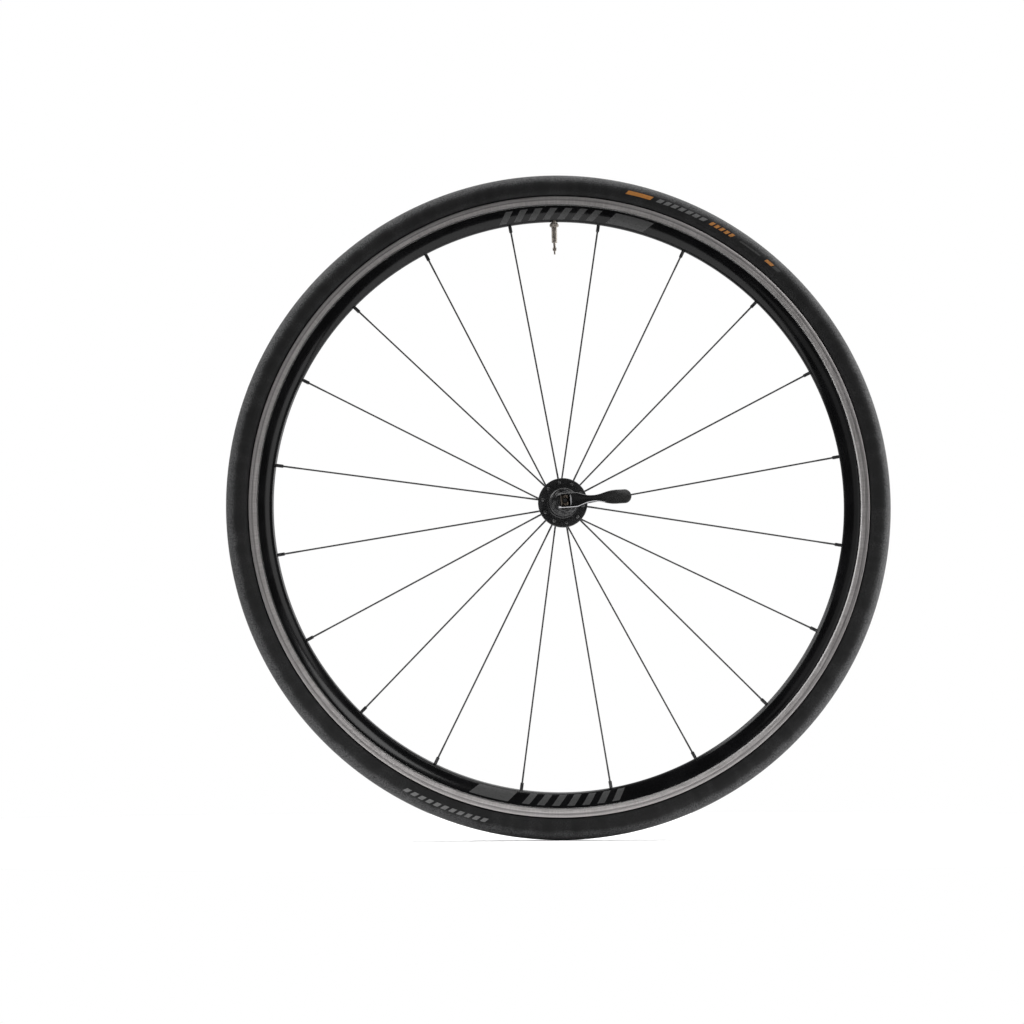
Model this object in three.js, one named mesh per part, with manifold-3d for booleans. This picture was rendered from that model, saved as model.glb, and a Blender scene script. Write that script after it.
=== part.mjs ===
// Front road-racing bicycle wheel: clincher tyre and tube on a box-section rim, twenty radial spokes,
// a hub on two sealed bearings, and a quick-release skewer with an external cam.
// Millimetres. The origin is the wheel's centre, the axle lies along Y, and +Z is up. The lever is on
// the near side, which is -Y. Angles round the wheel are degrees from +Z towards +X.

import * as THREE from 'three';
import { mergeVertices } from 'three/addons/utils/BufferGeometryUtils.js';
import Module from 'manifold-3d';

const wasm = await Module();
wasm.setup();

// ---------- driving dimensions ----------

const GAP = 0.3;                    // clearance between pieces that touch
const NEAR = -1;                    // the lever's side of the wheel
const FAR = 1;

// Rim, for a 622 mm bead seat
const BEAD_SEAT_R = 311;
const RIM_EDGE_R = 316.5;
const RIM_HALF_WIDTH = 10.3;
const RIM_NOSE_R = 291;
const RIM_NOSE_RISE = 4;            // the nose's rounding, outwards and sideways
const RIM_NOSE_HALF = 5.8;
const TRACK_INNER_R = 306.8;        // inner edge of the braking track
const TRACK_STEP = 0.4;             // the painted wall lies this much inside the track
const RIM_WALL = 1.6;
const HOOK = 0.8;                   // how far the hook stands in over the bead
const WELL_R = 307.6;
const WELL_HALF = 5;
const NOSE_WALL = 2.6;
const CAVITY_NOSE_HALF = 3.6;       // half width of the rim's hollow at the nose
const CAVITY_TAPER = 0.6;           // how much narrower than the track it is at the well

// Tyre, 28 mm wide nominal
const TYRE_R = 339.3;
const TYRE_HALF_WIDTH = 13.4;
const TYRE_CENTRE_R = 325.4;        // where the tyre is widest
const TYRE_LOWER_RISE = 11.4;       // the lower half's arc, from the widest place inwards
const TREAD = 3.3;
const SIDEWALL = 1.7;
const BEAD_WIDTH = 3.1;
const TAPE = 0.5;
const TUBE_BOTTOM_R = WELL_R + TAPE + 3 * GAP;
const TUBE_R = 9.8;
const TUBE_CENTRE_R = TYRE_CENTRE_R - 0.8;
const TUBE_NECK_HALF = 4.9;         // between the tyre's beads
const TUBE_NECK_R = BEAD_SEAT_R + 5;
const TUBE_WALL = 1.2;

// Spokes and nipples
const SPOKE_PAIRS = 10;
const WHEEL_TURN = -0.95;           // where the valve stands
const HALF_PITCH = 9;               // from the valve to the spokes beside it
const SPOKE_R = 0.9;
const HEAD_R = 1.9;
const HEAD_HEIGHT = 1.2;
const ELBOW_R = 1.6;
const SPOKE_SIDES = 6;
const NIPPLE_OUT = 7.1;             // how far a nipple stands out of the rim
const NIPPLE_R = 1.75;
const NIPPLE_HEAD_R = 3.2;
const NIPPLE_HEAD = 2;
const NIPPLE_PLAY = 0.35;           // between a nipple's bore and its spoke
const NIPPLE_HOLE_R = 2.6;
const ACCESS_HOLE_R = 4.2;

// Hub
const LOCKNUT_HALF = 50;            // half of the 100 mm between the fork's faces
const DROPOUT = 6;                  // room left for the fork's end on each side
const FLANGE_INNER_Y = 36.4;
const FLANGE_WIDTH = 2.8;
const NEAR_FLANGE_R = 25;
const NEAR_CIRCLE_R = 20.3;
const FAR_FLANGE_R = 17;
const FAR_CIRCLE_R = 14;
const SPOKE_HOLE_R = 1.4;
const NEAR_COLLAR_R = 14.2;
const FAR_COLLAR_R = 11.9;
const WAIST_R = 10.4;
const WAIST_HALF = 24;
const FLANGE_ROOT = 3.4;            // from the spoke circle in to the foot of the flange
const COLLAR_CHAMFER = 0.8;
const HUB_BORE_R = 7.2;
const BEARING_IN_Y = 41;
const BEARING_WIDTH = 6;
const BEARING_R = 10;
const OUTER_RACE_R = 8.8;
const INNER_RACE_R = 6.2;
const SHOULDER_R = 5.6;             // the axle between the bearings
const STUB_R = 4.5;
const STUB_LENGTH = 4.6;
const END_FACE_R = 8.5;
const AXLE_BORE_R = 3.1;

// Quick release
const ROD_R = 2.5;
const CLAMP_R = 13.4;
const CLAMP_WIDTH = 5;
const CLAMP_EDGE = 2.4;             // width of the washer's straight edge
const CLAMP_CROWN_R = 9.4;
const RECESS_R = 8.6;
const RECESS_DEPTH = 2.6;
const LEVER_RISE = 4;               // the closed lever lifts this many degrees above +X
const LEVER_REACH = 66.5;
const NECK_HALF = 3.2;
const PADDLE_R = 7;
const FORK_HALF = 7.3;
const CHEEK = 1.9;
const PIVOT_Y = -69.6;
const LOBE_R = 7.2;
const CAM_OFFSET = 0.8;
const BARREL_R = 4.5;
const TRUNNION_R = 3;
const SADDLE_HALF = 4.8;
const SADDLE_DEPTH = 1.8;           // how far the saddle reaches up beside the lobes
const SADDLE_R = 10;                // hollow of the saddle, wide enough for the lobes as they swing
const NUT_R = 10;
const NUT_LENGTH = 13;
const NUT_GRIP_R = 6.8;             // the fluted part, which narrows to the dome
const NUT_DOME_R = 5.4;
const NUT_RECESS_R = 7.6;

// Valve, which points from the rim towards the hub
const STEM_R = 2.9;
const STEM_TIP_R = 269.8;           // radius at which the threaded stem ends
const STEM_BORE_R = 1.7;
const VALVE_HOLE_R = STEM_R + 0.4;
const RING_NUT_HEIGHT = 4.1;
const RING_NUT_R = 4.6;
const CORE_TIP_R = 257.8;
const CORE_KNOB_R = 2;
const CORE_KNOB_FROM = CORE_TIP_R + 3.7;
const CORE_NECK_R = 1.3;
const CORE_END_R = STEM_TIP_R + 16; // the pin's inner end, inside the stem

// Facets
const WHEEL_STEPS = 48;
const HUB_STEPS = 24;
const CLAMP_STEPS = 24;
const SMALL_STEPS = 16;

// ---------- solids ----------

const rad = THREE.MathUtils.degToRad;
const at = (radius, y) => new THREE.Vector2(radius, y);

// Points along part of an ellipse in the (radius, y) plane. 0 degrees points outwards.
function arc(radius, y, riseRadius, riseY, from, to, steps) {
  const points = [];
  for (let i = 0; i <= steps; i += 1) {
    const angle = rad(from + ((to - from) * i) / steps);
    points.push(at(radius + riseRadius * Math.cos(angle), y + riseY * Math.sin(angle)));
  }
  return points;
}

// The same outline mirrored in the wheel's mid-plane, so that half plus mirror is a closed section.
const mirrored = (points) => points.map((p) => at(p.x, -p.y)).reverse();

// Signed area of an outline in the (radius, y) plane.
function area(points) {
  return points.reduce((sum, p, i) => {
    const next = points[(i + 1) % points.length];
    return sum + (p.x * next.y - next.x * p.y) / 2;
  }, 0);
}

// A closed outline turned about the Y axis. Its faces point out, whichever way the outline runs.
function turned(outline, steps) {
  const points = area(outline) > 0 ? outline : [...outline].reverse();
  return new THREE.LatheGeometry([...points, points[0]], steps);
}

// A turned ring of rectangular section between two radii and two places on the axle.
function sleeve(innerR, outerR, fromY, toY, steps) {
  return turned([at(innerR, fromY), at(outerR, fromY), at(outerR, toY), at(innerR, toY)], steps);
}

// A straight round bar that lies along Z, from one height to another.
function bar(radius, fromZ, toZ, sides) {
  const geometry = new THREE.CylinderGeometry(radius, radius, toZ - fromZ, sides);
  return geometry.rotateX(Math.PI / 2).translate(0, 0, (fromZ + toZ) / 2);
}

// The closed form that manifold-3d joins and cuts.
function solid(geometry) {
  const bare = geometry.clone();
  bare.deleteAttribute('normal');
  bare.deleteAttribute('uv');
  const merged = mergeVertices(bare, 1e-4);
  const corners = merged.index.array;
  const kept = [];
  for (let i = 0; i < corners.length; i += 3) {
    const [a, b, c] = corners.slice(i, i + 3);
    if (a !== b && b !== c && c !== a) kept.push(a, b, c);
  }
  return new wasm.Manifold(new wasm.Mesh({
    numProp: 3,
    vertProperties: merged.attributes.position.array,
    triVerts: new Uint32Array(kept),
  }));
}

function shape(manifold) {
  const mesh = manifold.getMesh();
  const geometry = new THREE.BufferGeometry();
  geometry.setAttribute('position', new THREE.BufferAttribute(mesh.vertProperties, 3));
  geometry.setIndex(new THREE.BufferAttribute(mesh.triVerts, 1));
  return geometry;
}

const cut = (body, tools) => shape(tools.reduce((rest, tool) => rest.subtract(solid(tool)), solid(body)));
const joined = (pieces) => shape(pieces.slice(1).reduce((sum, p) => sum.add(solid(p)), solid(pieces[0])));

// ---------- spoke lines ----------

const CIRCLE_R = { [NEAR]: NEAR_CIRCLE_R, [FAR]: FAR_CIRCLE_R };

// Angle of one spoke: near and far spokes alternate, and the valve stands between two of them.
const spokeAngle = (side, index) => WHEEL_TURN + side * HALF_PITCH + (360 / SPOKE_PAIRS) * index;

// Every spoke of both sides.
const spokes = [NEAR, FAR].flatMap((side) => (
  Array.from({ length: SPOKE_PAIRS }, (_, index) => ({ side, index, angle: spokeAngle(side, index) }))
));

// The straight part of a spoke drawn upwards: where it leaves the elbow, and the way it runs to the
// middle of the rim's nose.
function spokeLine(side) {
  const start = new THREE.Vector3(0, side * (FLANGE_INNER_Y - ELBOW_R), CIRCLE_R[side] + ELBOW_R);
  const end = new THREE.Vector3(0, 0, RIM_NOSE_R);
  const length = start.distanceTo(end);
  return { start, direction: end.sub(start).normalize(), length };
}

// Geometry drawn along +Z from the origin, moved onto the spoke's line at a distance along it.
function alongSpoke(geometry, side, distance) {
  const { start, direction } = spokeLine(side);
  const turn = new THREE.Quaternion().setFromUnitVectors(new THREE.Vector3(0, 0, 1), direction);
  const place = start.clone().addScaledVector(direction, distance);
  return geometry.applyQuaternion(turn).translate(place.x, place.y, place.z);
}

// ---------- rim and tyre ----------

function rimOutline() {
  const half = [
    at(RIM_NOSE_R, 0),
    ...arc(RIM_NOSE_R + RIM_NOSE_RISE, 0, RIM_NOSE_RISE, RIM_NOSE_HALF, 155, 110, 2),
    at(TRACK_INNER_R - 1, RIM_HALF_WIDTH - TRACK_STEP),
    at(TRACK_INNER_R, RIM_HALF_WIDTH),
    at(RIM_EDGE_R, RIM_HALF_WIDTH),
    at(RIM_EDGE_R, RIM_HALF_WIDTH - RIM_WALL - HOOK),
    at(RIM_EDGE_R - 2, RIM_HALF_WIDTH - RIM_WALL),
    at(BEAD_SEAT_R, RIM_HALF_WIDTH - RIM_WALL),
    at(BEAD_SEAT_R, WELL_HALF + 1.2),
    at(WELL_R, WELL_HALF),
  ];
  return [...half, ...mirrored(half).slice(0, -1)];
}

function rimCavityOutline() {
  const half = [
    at(RIM_NOSE_R + NOSE_WALL, CAVITY_NOSE_HALF),
    at(TRACK_INNER_R - NOSE_WALL, RIM_HALF_WIDTH - TRACK_STEP - RIM_WALL - 0.5),
    at(WELL_R - RIM_WALL, RIM_HALF_WIDTH - RIM_WALL - CAVITY_TAPER),
  ];
  return [...half, ...mirrored(half)];
}

// Nipple holes follow their spokes through the nose, with an access hole over each in the outer wall.
function rimShape() {
  const drills = spokes.flatMap(({ side, angle }) => {
    const { length } = spokeLine(side);
    const nippleHole = alongSpoke(bar(NIPPLE_HOLE_R, -6, 6, SPOKE_SIDES), side, length);
    const accessHole = bar(ACCESS_HOLE_R, WELL_R - 4, WELL_R + 3, SPOKE_SIDES);
    return [nippleHole.rotateY(rad(angle)), accessHole.rotateY(rad(angle))];
  });
  const valveHole = bar(VALVE_HOLE_R, RIM_NOSE_R - 2, WELL_R + 3, 10).rotateY(rad(WHEEL_TURN));
  const cavity = turned(rimCavityOutline(), WHEEL_STEPS);
  return cut(turned(rimOutline(), WHEEL_STEPS), [cavity, ...drills, valveHole]);
}

function tyreShape() {
  const outerY = RIM_HALF_WIDTH - RIM_WALL - GAP;
  const crownRise = TYRE_R - TYRE_CENTRE_R;
  const half = [
    ...arc(TYRE_CENTRE_R, 0, crownRise, TYRE_HALF_WIDTH, 0, 90, 4),
    ...arc(TYRE_CENTRE_R, 0, TYRE_LOWER_RISE, TYRE_HALF_WIDTH, 90, 138, 2).slice(1),
    at(RIM_EDGE_R + GAP, outerY - HOOK),
    at(RIM_EDGE_R - 2, outerY - HOOK),
    at(BEAD_SEAT_R + GAP, outerY),
    at(BEAD_SEAT_R + GAP, outerY - BEAD_WIDTH),
    at(RIM_EDGE_R - GAP, outerY - BEAD_WIDTH + GAP),
    ...arc(TYRE_CENTRE_R, 0, TYRE_LOWER_RISE - SIDEWALL, TYRE_HALF_WIDTH - SIDEWALL, 130, 90, 1),
    ...arc(TYRE_CENTRE_R, 0, crownRise - TREAD, TYRE_HALF_WIDTH - SIDEWALL, 54, 18, 1),
  ];
  return turned([...half, ...mirrored(half).slice(0, -1)], WHEEL_STEPS);
}

// The tube's section: round in the tyre, narrow between the beads. inset moves the whole skin in.
function tubeOutline(inset) {
  const neck = TUBE_NECK_HALF - inset;
  const half = [
    at(TUBE_BOTTOM_R + inset, neck - GAP),
    at(TUBE_NECK_R, neck),
    ...arc(TUBE_CENTRE_R, 0, TUBE_R - inset, TUBE_R - inset, 130, 15, 2),
  ];
  return [...half, ...mirrored(half)];
}

function innerTubeShape() {
  const hollow = turned(tubeOutline(TUBE_WALL), WHEEL_STEPS);
  const valveHole = bar(VALVE_HOLE_R, WELL_R - 2, WELL_R + 6, 10).rotateY(rad(WHEEL_TURN));
  return cut(turned(tubeOutline(0), WHEEL_STEPS), [hollow, valveHole]);
}

function rimTapeShape() {
  const half = WELL_HALF - GAP;
  const tape = sleeve(WELL_R + GAP, WELL_R + GAP + TAPE, -half, half, WHEEL_STEPS);
  return cut(tape, [bar(VALVE_HOLE_R, WELL_R - 2, WELL_R + 3, 10).rotateY(rad(WHEEL_TURN))]);
}

// ---------- spokes ----------

// A path of straight runs, stepped at its own points and nowhere else.
class Bends extends THREE.Curve {
  constructor(points) {
    super();
    this.points = points;
  }

  getPoint(t, target = new THREE.Vector3()) {
    const place = t * (this.points.length - 1);
    const index = Math.min(Math.floor(place), this.points.length - 2);
    return target.lerpVectors(this.points[index], this.points[index + 1], place - index);
  }

  getUtoTmapping(u) {
    return u;
  }
}

// A spoke's centre line: through the flange, round the elbow and straight on to the nipple.
function spokePath(side) {
  const { start, direction, length } = spokeLine(side);
  const holeR = CIRCLE_R[side];
  const bend = [0, 0.4, 0.75, 1].map((share) => {
    const angle = share * Math.acos(direction.y * -side);
    return new THREE.Vector3(
      0,
      side * (FLANGE_INNER_Y - ELBOW_R * Math.sin(angle)),
      holeR + ELBOW_R * (1 - Math.cos(angle)),
    );
  });
  const head = new THREE.Vector3(0, side * (FLANGE_INNER_Y + FLANGE_WIDTH + GAP), holeR);
  const tip = start.clone().addScaledVector(direction, length + NOSE_WALL);
  return new Bends([head, ...bend, tip]);
}

function spokeShape(side) {
  const corners = Array.from({ length: SPOKE_SIDES }, (_, i) => {
    const angle = (2 * Math.PI * i) / SPOKE_SIDES;
    return new THREE.Vector2(SPOKE_R * Math.cos(angle), SPOKE_R * Math.sin(angle));
  });
  const path = spokePath(side);
  const wire = new THREE.ExtrudeGeometry(new THREE.Shape(corners), {
    extrudePath: path, steps: path.points.length - 1, bevelEnabled: false,
  });
  const headY = side * (FLANGE_INNER_Y + FLANGE_WIDTH + GAP + HEAD_HEIGHT / 2);
  const head = new THREE.CylinderGeometry(HEAD_R, HEAD_R, HEAD_HEIGHT, SPOKE_SIDES)
    .translate(0, headY, CIRCLE_R[side]);
  return joined([wire, head]);
}

// A nipple drawn along the spoke: a shank outside the rim and a head inside it, bored for the spoke.
function nippleShape(side) {
  const { length } = spokeLine(side);
  const seat = NOSE_WALL + GAP;
  const bore = SPOKE_R + NIPPLE_PLAY;
  const outline = [
    at(bore, -NIPPLE_OUT),
    at(NIPPLE_R, -NIPPLE_OUT),
    at(NIPPLE_R, seat),
    at(NIPPLE_HEAD_R, seat + 0.5),
    at(NIPPLE_HEAD_R - 0.6, seat + NIPPLE_HEAD),
    at(bore, seat + NIPPLE_HEAD),
  ];
  return alongSpoke(turned(outline, SPOKE_SIDES).rotateX(Math.PI / 2), side, length);
}

// ---------- hub ----------

const HUB_FACE_Y = BEARING_IN_Y + BEARING_WIDTH + GAP;

// The hub's section on one side: from its waist out to the collar round the bearing, and back in.
function hubHalf(side, flangeR, collarR) {
  const flangeOuterY = FLANGE_INNER_Y + FLANGE_WIDTH;
  const rootR = CIRCLE_R[side] - FLANGE_ROOT;
  return [
    at(WAIST_R, 0),
    at(WAIST_R, side * WAIST_HALF),
    at(rootR, side * FLANGE_INNER_Y),
    at(flangeR, side * FLANGE_INNER_Y),
    at(flangeR, side * flangeOuterY),
    at(collarR, side * flangeOuterY),
    at(collarR, side * (HUB_FACE_Y - COLLAR_CHAMFER)),
    at(collarR - COLLAR_CHAMFER, side * HUB_FACE_Y),
    at(BEARING_R + GAP, side * HUB_FACE_Y),
    at(BEARING_R + GAP, side * (BEARING_IN_Y - GAP)),
    at(HUB_BORE_R, side * (BEARING_IN_Y - GAP)),
  ];
}

function hubShellShape() {
  const near = hubHalf(NEAR, NEAR_FLANGE_R, NEAR_COLLAR_R);
  const far = hubHalf(FAR, FAR_FLANGE_R, FAR_COLLAR_R).slice(1);
  const shell = turned([...near, ...far.reverse()], HUB_STEPS);
  const holes = spokes.map(({ side, angle }) => (
    new THREE.CylinderGeometry(SPOKE_HOLE_R, SPOKE_HOLE_R, FLANGE_WIDTH + 2, SPOKE_SIDES)
      .translate(0, side * (FLANGE_INNER_Y + FLANGE_WIDTH / 2), CIRCLE_R[side])
      .rotateY(rad(angle))
  ));
  return cut(shell, holes);
}

function bearingRing(side, innerR, outerR) {
  const from = side * BEARING_IN_Y;
  return sleeve(innerR, outerR, from, from + side * BEARING_WIDTH, SMALL_STEPS);
}

// The hollow axle: a shoulder between the bearings, and a stub at each end for the fork's ends.
function axleShape() {
  const shoulderY = BEARING_IN_Y - GAP;
  const endY = LOCKNUT_HALF + STUB_LENGTH;
  const half = [
    at(SHOULDER_R, shoulderY),
    at(STUB_R, shoulderY),
    at(STUB_R, endY),
    at(AXLE_BORE_R, endY),
  ];
  return turned([...half, ...mirrored(half)], SMALL_STEPS);
}

function endCapShape(side) {
  return sleeve(STUB_R + GAP, END_FACE_R, side * (HUB_FACE_Y + GAP), side * LOCKNUT_HALF, SMALL_STEPS);
}

// ---------- quick release ----------

const CLAMP_Y = -(LOCKNUT_HALF + DROPOUT);

// The clamping washer, with the saddle that the cam's lobes press on. Its recess takes a spring.
function clampWasherShape() {
  const bore = ROD_R + GAP;
  const washer = turned([
    at(bore, CLAMP_Y - RECESS_DEPTH),
    at(RECESS_R, CLAMP_Y - RECESS_DEPTH),
    at(RECESS_R, CLAMP_Y),
    at(CLAMP_R, CLAMP_Y),
    at(CLAMP_R, CLAMP_Y - CLAMP_EDGE),
    at(CLAMP_CROWN_R, CLAMP_Y - CLAMP_WIDTH),
    at(bore, CLAMP_Y - CLAMP_WIDTH),
  ], CLAMP_STEPS);
  const lobeTopY = PIVOT_Y + CAM_OFFSET + LOBE_R + GAP;
  const saddleY = lobeTopY - SADDLE_DEPTH;
  const saddleRise = CLAMP_Y - CLAMP_WIDTH + 0.5 - saddleY;
  const saddle = new THREE.BoxGeometry(2 * SADDLE_HALF, saddleRise, 2 * FORK_HALF)
    .translate(0, saddleY + saddleRise / 2, 0);
  const lobes = bar(SADDLE_R, -FORK_HALF - 1, FORK_HALF + 1, 2 * SMALL_STEPS)
    .translate(0, lobeTopY - SADDLE_R, 0);
  const rodHole = new THREE.CylinderGeometry(bore, bore, 20, SMALL_STEPS).translate(0, CLAMP_Y, 0);
  return cut(joined([washer, saddle]), [lobes, rodHole]);
}

function pivotBarrelShape() {
  const half = FORK_HALF - CHEEK - GAP;
  const body = bar(BARREL_R, -half, half, SMALL_STEPS);
  const trunnions = bar(TRUNNION_R, -FORK_HALF, FORK_HALF, SMALL_STEPS);
  const barrel = joined([body, trunnions]).translate(0, PIVOT_Y, 0);
  const rodHole = new THREE.CylinderGeometry(ROD_R + GAP, ROD_R + GAP, 30, 12).translate(0, PIVOT_Y, 0);
  return cut(barrel, [rodHole]);
}

// The lever seen from outside: a fork, a narrow neck and a rounded paddle.
function leverPlan() {
  const forkEnd = 10;
  const neck = 28;
  const paddle = 51;
  const plan = new THREE.Shape();
  plan.moveTo(-LOBE_R - 1, -FORK_HALF);
  plan.lineTo(forkEnd, -FORK_HALF);
  plan.bezierCurveTo(15, -FORK_HALF, 19, -NECK_HALF, neck, -NECK_HALF);
  plan.bezierCurveTo(37, -NECK_HALF, 41, -PADDLE_R, paddle, -PADDLE_R);
  plan.lineTo(LEVER_REACH - PADDLE_R, -PADDLE_R);
  plan.absarc(LEVER_REACH - PADDLE_R, 0, PADDLE_R, -Math.PI / 2, Math.PI / 2);
  plan.lineTo(paddle, PADDLE_R);
  plan.bezierCurveTo(41, PADDLE_R, 37, NECK_HALF, neck, NECK_HALF);
  plan.bezierCurveTo(19, NECK_HALF, 15, FORK_HALF, forkEnd, FORK_HALF);
  plan.lineTo(-LOBE_R - 1, FORK_HALF);
  plan.closePath();
  return plan;
}

// The lever seen from above: the cam's lobe round the pivot, and an arm that bows gently outwards.
function leverSide() {
  const tip = LEVER_REACH + 1;
  const side = new THREE.Shape();
  side.moveTo(0, -4.5);
  side.bezierCurveTo(20, -4.7, 35, -7, 50, -6);
  side.bezierCurveTo(57, -5.4, 62, -4, tip, -2.6);
  side.lineTo(tip, 0.4);
  side.bezierCurveTo(60, -1.6, 53, -2.2, 48, -2.6);
  side.bezierCurveTo(35, -3.4, 20, -1, LOBE_R - 0.6, 1.6);
  side.absarc(0, CAM_OFFSET, LOBE_R, rad(10), rad(232));
  side.closePath();
  return side;
}

function leverShape() {
  const plan = new THREE.ExtrudeGeometry(leverPlan(), { depth: 40, curveSegments: 4, bevelEnabled: false })
    .rotateX(Math.PI / 2).translate(0, 20, 0);
  const side = new THREE.ExtrudeGeometry(leverSide(), { depth: 20, curveSegments: 5, bevelEnabled: false })
    .translate(0, 0, -10);
  const slotHalf = FORK_HALF - CHEEK;
  const slot = new THREE.BoxGeometry(20, 30, 2 * slotHalf).translate(-10 + BARREL_R + 0.8, 0, 0);
  const pivotHole = bar(TRUNNION_R + GAP, -20, 20, SMALL_STEPS);
  const arm = shape(solid(plan).intersect(solid(side)));
  return cut(arm, [slot, pivotHole]).translate(0, PIVOT_Y, 0);
}

function skewerRodShape() {
  const fromY = PIVOT_Y - BARREL_R + 1.2;
  const toY = LOCKNUT_HALF + DROPOUT + NUT_LENGTH - 3;
  return new THREE.CylinderGeometry(ROD_R, ROD_R, toY - fromY, 12).translate(0, (fromY + toY) / 2, 0);
}

// The adjusting nut: a clamping face with a recess for its spring, fluted grip and closed dome.
function adjustingNutShape() {
  const faceY = LOCKNUT_HALF + DROPOUT;
  const endY = faceY + NUT_LENGTH;
  const bore = ROD_R + GAP;
  return turned([
    at(bore, faceY + RECESS_DEPTH),
    at(NUT_RECESS_R, faceY + RECESS_DEPTH),
    at(NUT_RECESS_R, faceY),
    at(NUT_R, faceY),
    at(NUT_R, faceY + 4),
    at(NUT_GRIP_R + 0.6, faceY + 6),
    at(NUT_GRIP_R, endY - 1.5),
    at(NUT_DOME_R, endY),
    at(bore, endY),
  ], SMALL_STEPS);
}

// ---------- valve, drawn upwards ----------

function valveStemShape() {
  const base = TUBE_BOTTOM_R + TUBE_WALL + GAP;
  return turned([
    at(STEM_BORE_R, STEM_TIP_R),
    at(STEM_R - 0.5, STEM_TIP_R),
    at(STEM_R, STEM_TIP_R + 1.5),
    at(STEM_R, base),
    at(STEM_BORE_R, base),
  ], 12).rotateX(Math.PI / 2);
}

function ringNutShape() {
  const top = RIM_NOSE_R - GAP - 0.3;
  const bore = STEM_R + GAP;
  return turned([
    at(bore, top),
    at(RING_NUT_R - 0.8, top),
    at(RING_NUT_R - 0.8, top - 1.4),
    at(RING_NUT_R, top - 2),
    at(RING_NUT_R, top - RING_NUT_HEIGHT),
    at(bore, top - RING_NUT_HEIGHT),
  ], 12).rotateX(Math.PI / 2);
}

// The pin and its knurled lock nut, which travel together when the valve is pressed.
function valveCoreShape() {
  const profile = [
    at(0, CORE_TIP_R),
    at(0.8, CORE_TIP_R),
    at(0.95, CORE_KNOB_FROM),
    at(CORE_KNOB_R, CORE_KNOB_FROM + 0.3),
    at(CORE_KNOB_R, CORE_KNOB_FROM + 3.6),
    at(CORE_NECK_R, CORE_KNOB_FROM + 4),
    at(CORE_NECK_R, CORE_END_R),
    at(0, CORE_END_R),
  ];
  return new THREE.LatheGeometry(profile, 10).rotateX(Math.PI / 2);
}

// ---------- materials ----------

function finish(color, roughness, metalness) {
  return new THREE.MeshStandardMaterial({ color, roughness, metalness });
}

const rubber = finish(0x2b2b2c, 0.85, 0);
const tubeRubber = finish(0x1c1c1d, 0.7, 0);
const tapeCloth = finish(0xd8d4c8, 0.8, 0);
const rimAlloy = finish(0x17181a, 0.35, 0.4);
const blackSteel = finish(0x2a2a2c, 0.4, 0.7);
const blackAlloy = finish(0x1b1c1e, 0.5, 0.5);
const steel = finish(0xb9bbbd, 0.3, 1);
const greyAlloy = finish(0x77797b, 0.45, 0.8);
const bronze = finish(0x6e4f34, 0.45, 0.8);
const nickel = finish(0xa79f90, 0.35, 0.9);

// ---------- assembly ----------

const wheel = new THREE.Group();

function add(name, geometry, material, angle = 0) {
  const mesh = new THREE.Mesh(geometry, material);
  mesh.name = name;
  mesh.rotation.y = rad(angle);
  wheel.add(mesh);
}

add('tyre', tyreShape(), rubber);
add('inner_tube', innerTubeShape(), tubeRubber);
add('rim_tape', rimTapeShape(), tapeCloth);
add('rim', rimShape(), rimAlloy);

const spokeForms = { [NEAR]: spokeShape(NEAR), [FAR]: spokeShape(FAR) };
const nippleForms = { [NEAR]: nippleShape(NEAR), [FAR]: nippleShape(FAR) };
for (const { side, index, angle } of spokes) {
  const label = `${side === NEAR ? 'near' : 'far'}_${String(index + 1).padStart(2, '0')}`;
  add(`spoke_${label}`, spokeForms[side], blackSteel, angle);
  add(`nipple_${label}`, nippleForms[side], blackAlloy, angle);
}

add('valve_stem', valveStemShape(), nickel, WHEEL_TURN);
add('valve_ring_nut', ringNutShape(), nickel, WHEEL_TURN);
add('valve_core', valveCoreShape(), nickel, WHEEL_TURN);

add('hub_shell', hubShellShape(), blackAlloy);
add('bearing_outer_ring_near', bearingRing(NEAR, OUTER_RACE_R, BEARING_R), steel);
add('bearing_outer_ring_far', bearingRing(FAR, OUTER_RACE_R, BEARING_R), steel);
add('bearing_inner_ring_near', bearingRing(NEAR, STUB_R + GAP, INNER_RACE_R), steel);
add('bearing_inner_ring_far', bearingRing(FAR, STUB_R + GAP, INNER_RACE_R), steel);
add('axle', axleShape(), greyAlloy);
add('end_cap_near', endCapShape(NEAR), blackAlloy);
add('end_cap_far', endCapShape(FAR), blackAlloy);

// The closed lever and the barrel it turns on are lifted a little about the axle.
const lifted = -LEVER_RISE;
add('skewer_rod', skewerRodShape(), steel);
add('clamp_washer', clampWasherShape(), greyAlloy, lifted);
add('pivot_barrel', pivotBarrelShape(), bronze, lifted);
add('lever', leverShape(), blackAlloy, lifted);
add('adjusting_nut', adjustingNutShape(), blackAlloy);

export default wheel;
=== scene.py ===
"""Looks of a front road-racing bicycle wheel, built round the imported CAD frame.

Lengths are millimetres until a mesh is made, and y is the axle. Angles round the wheel are degrees
from +Z towards +X. The lever is on the near side, which is -Y.
"""
import math

import bmesh
import bpy
from mathutils import Matrix, Vector


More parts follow.
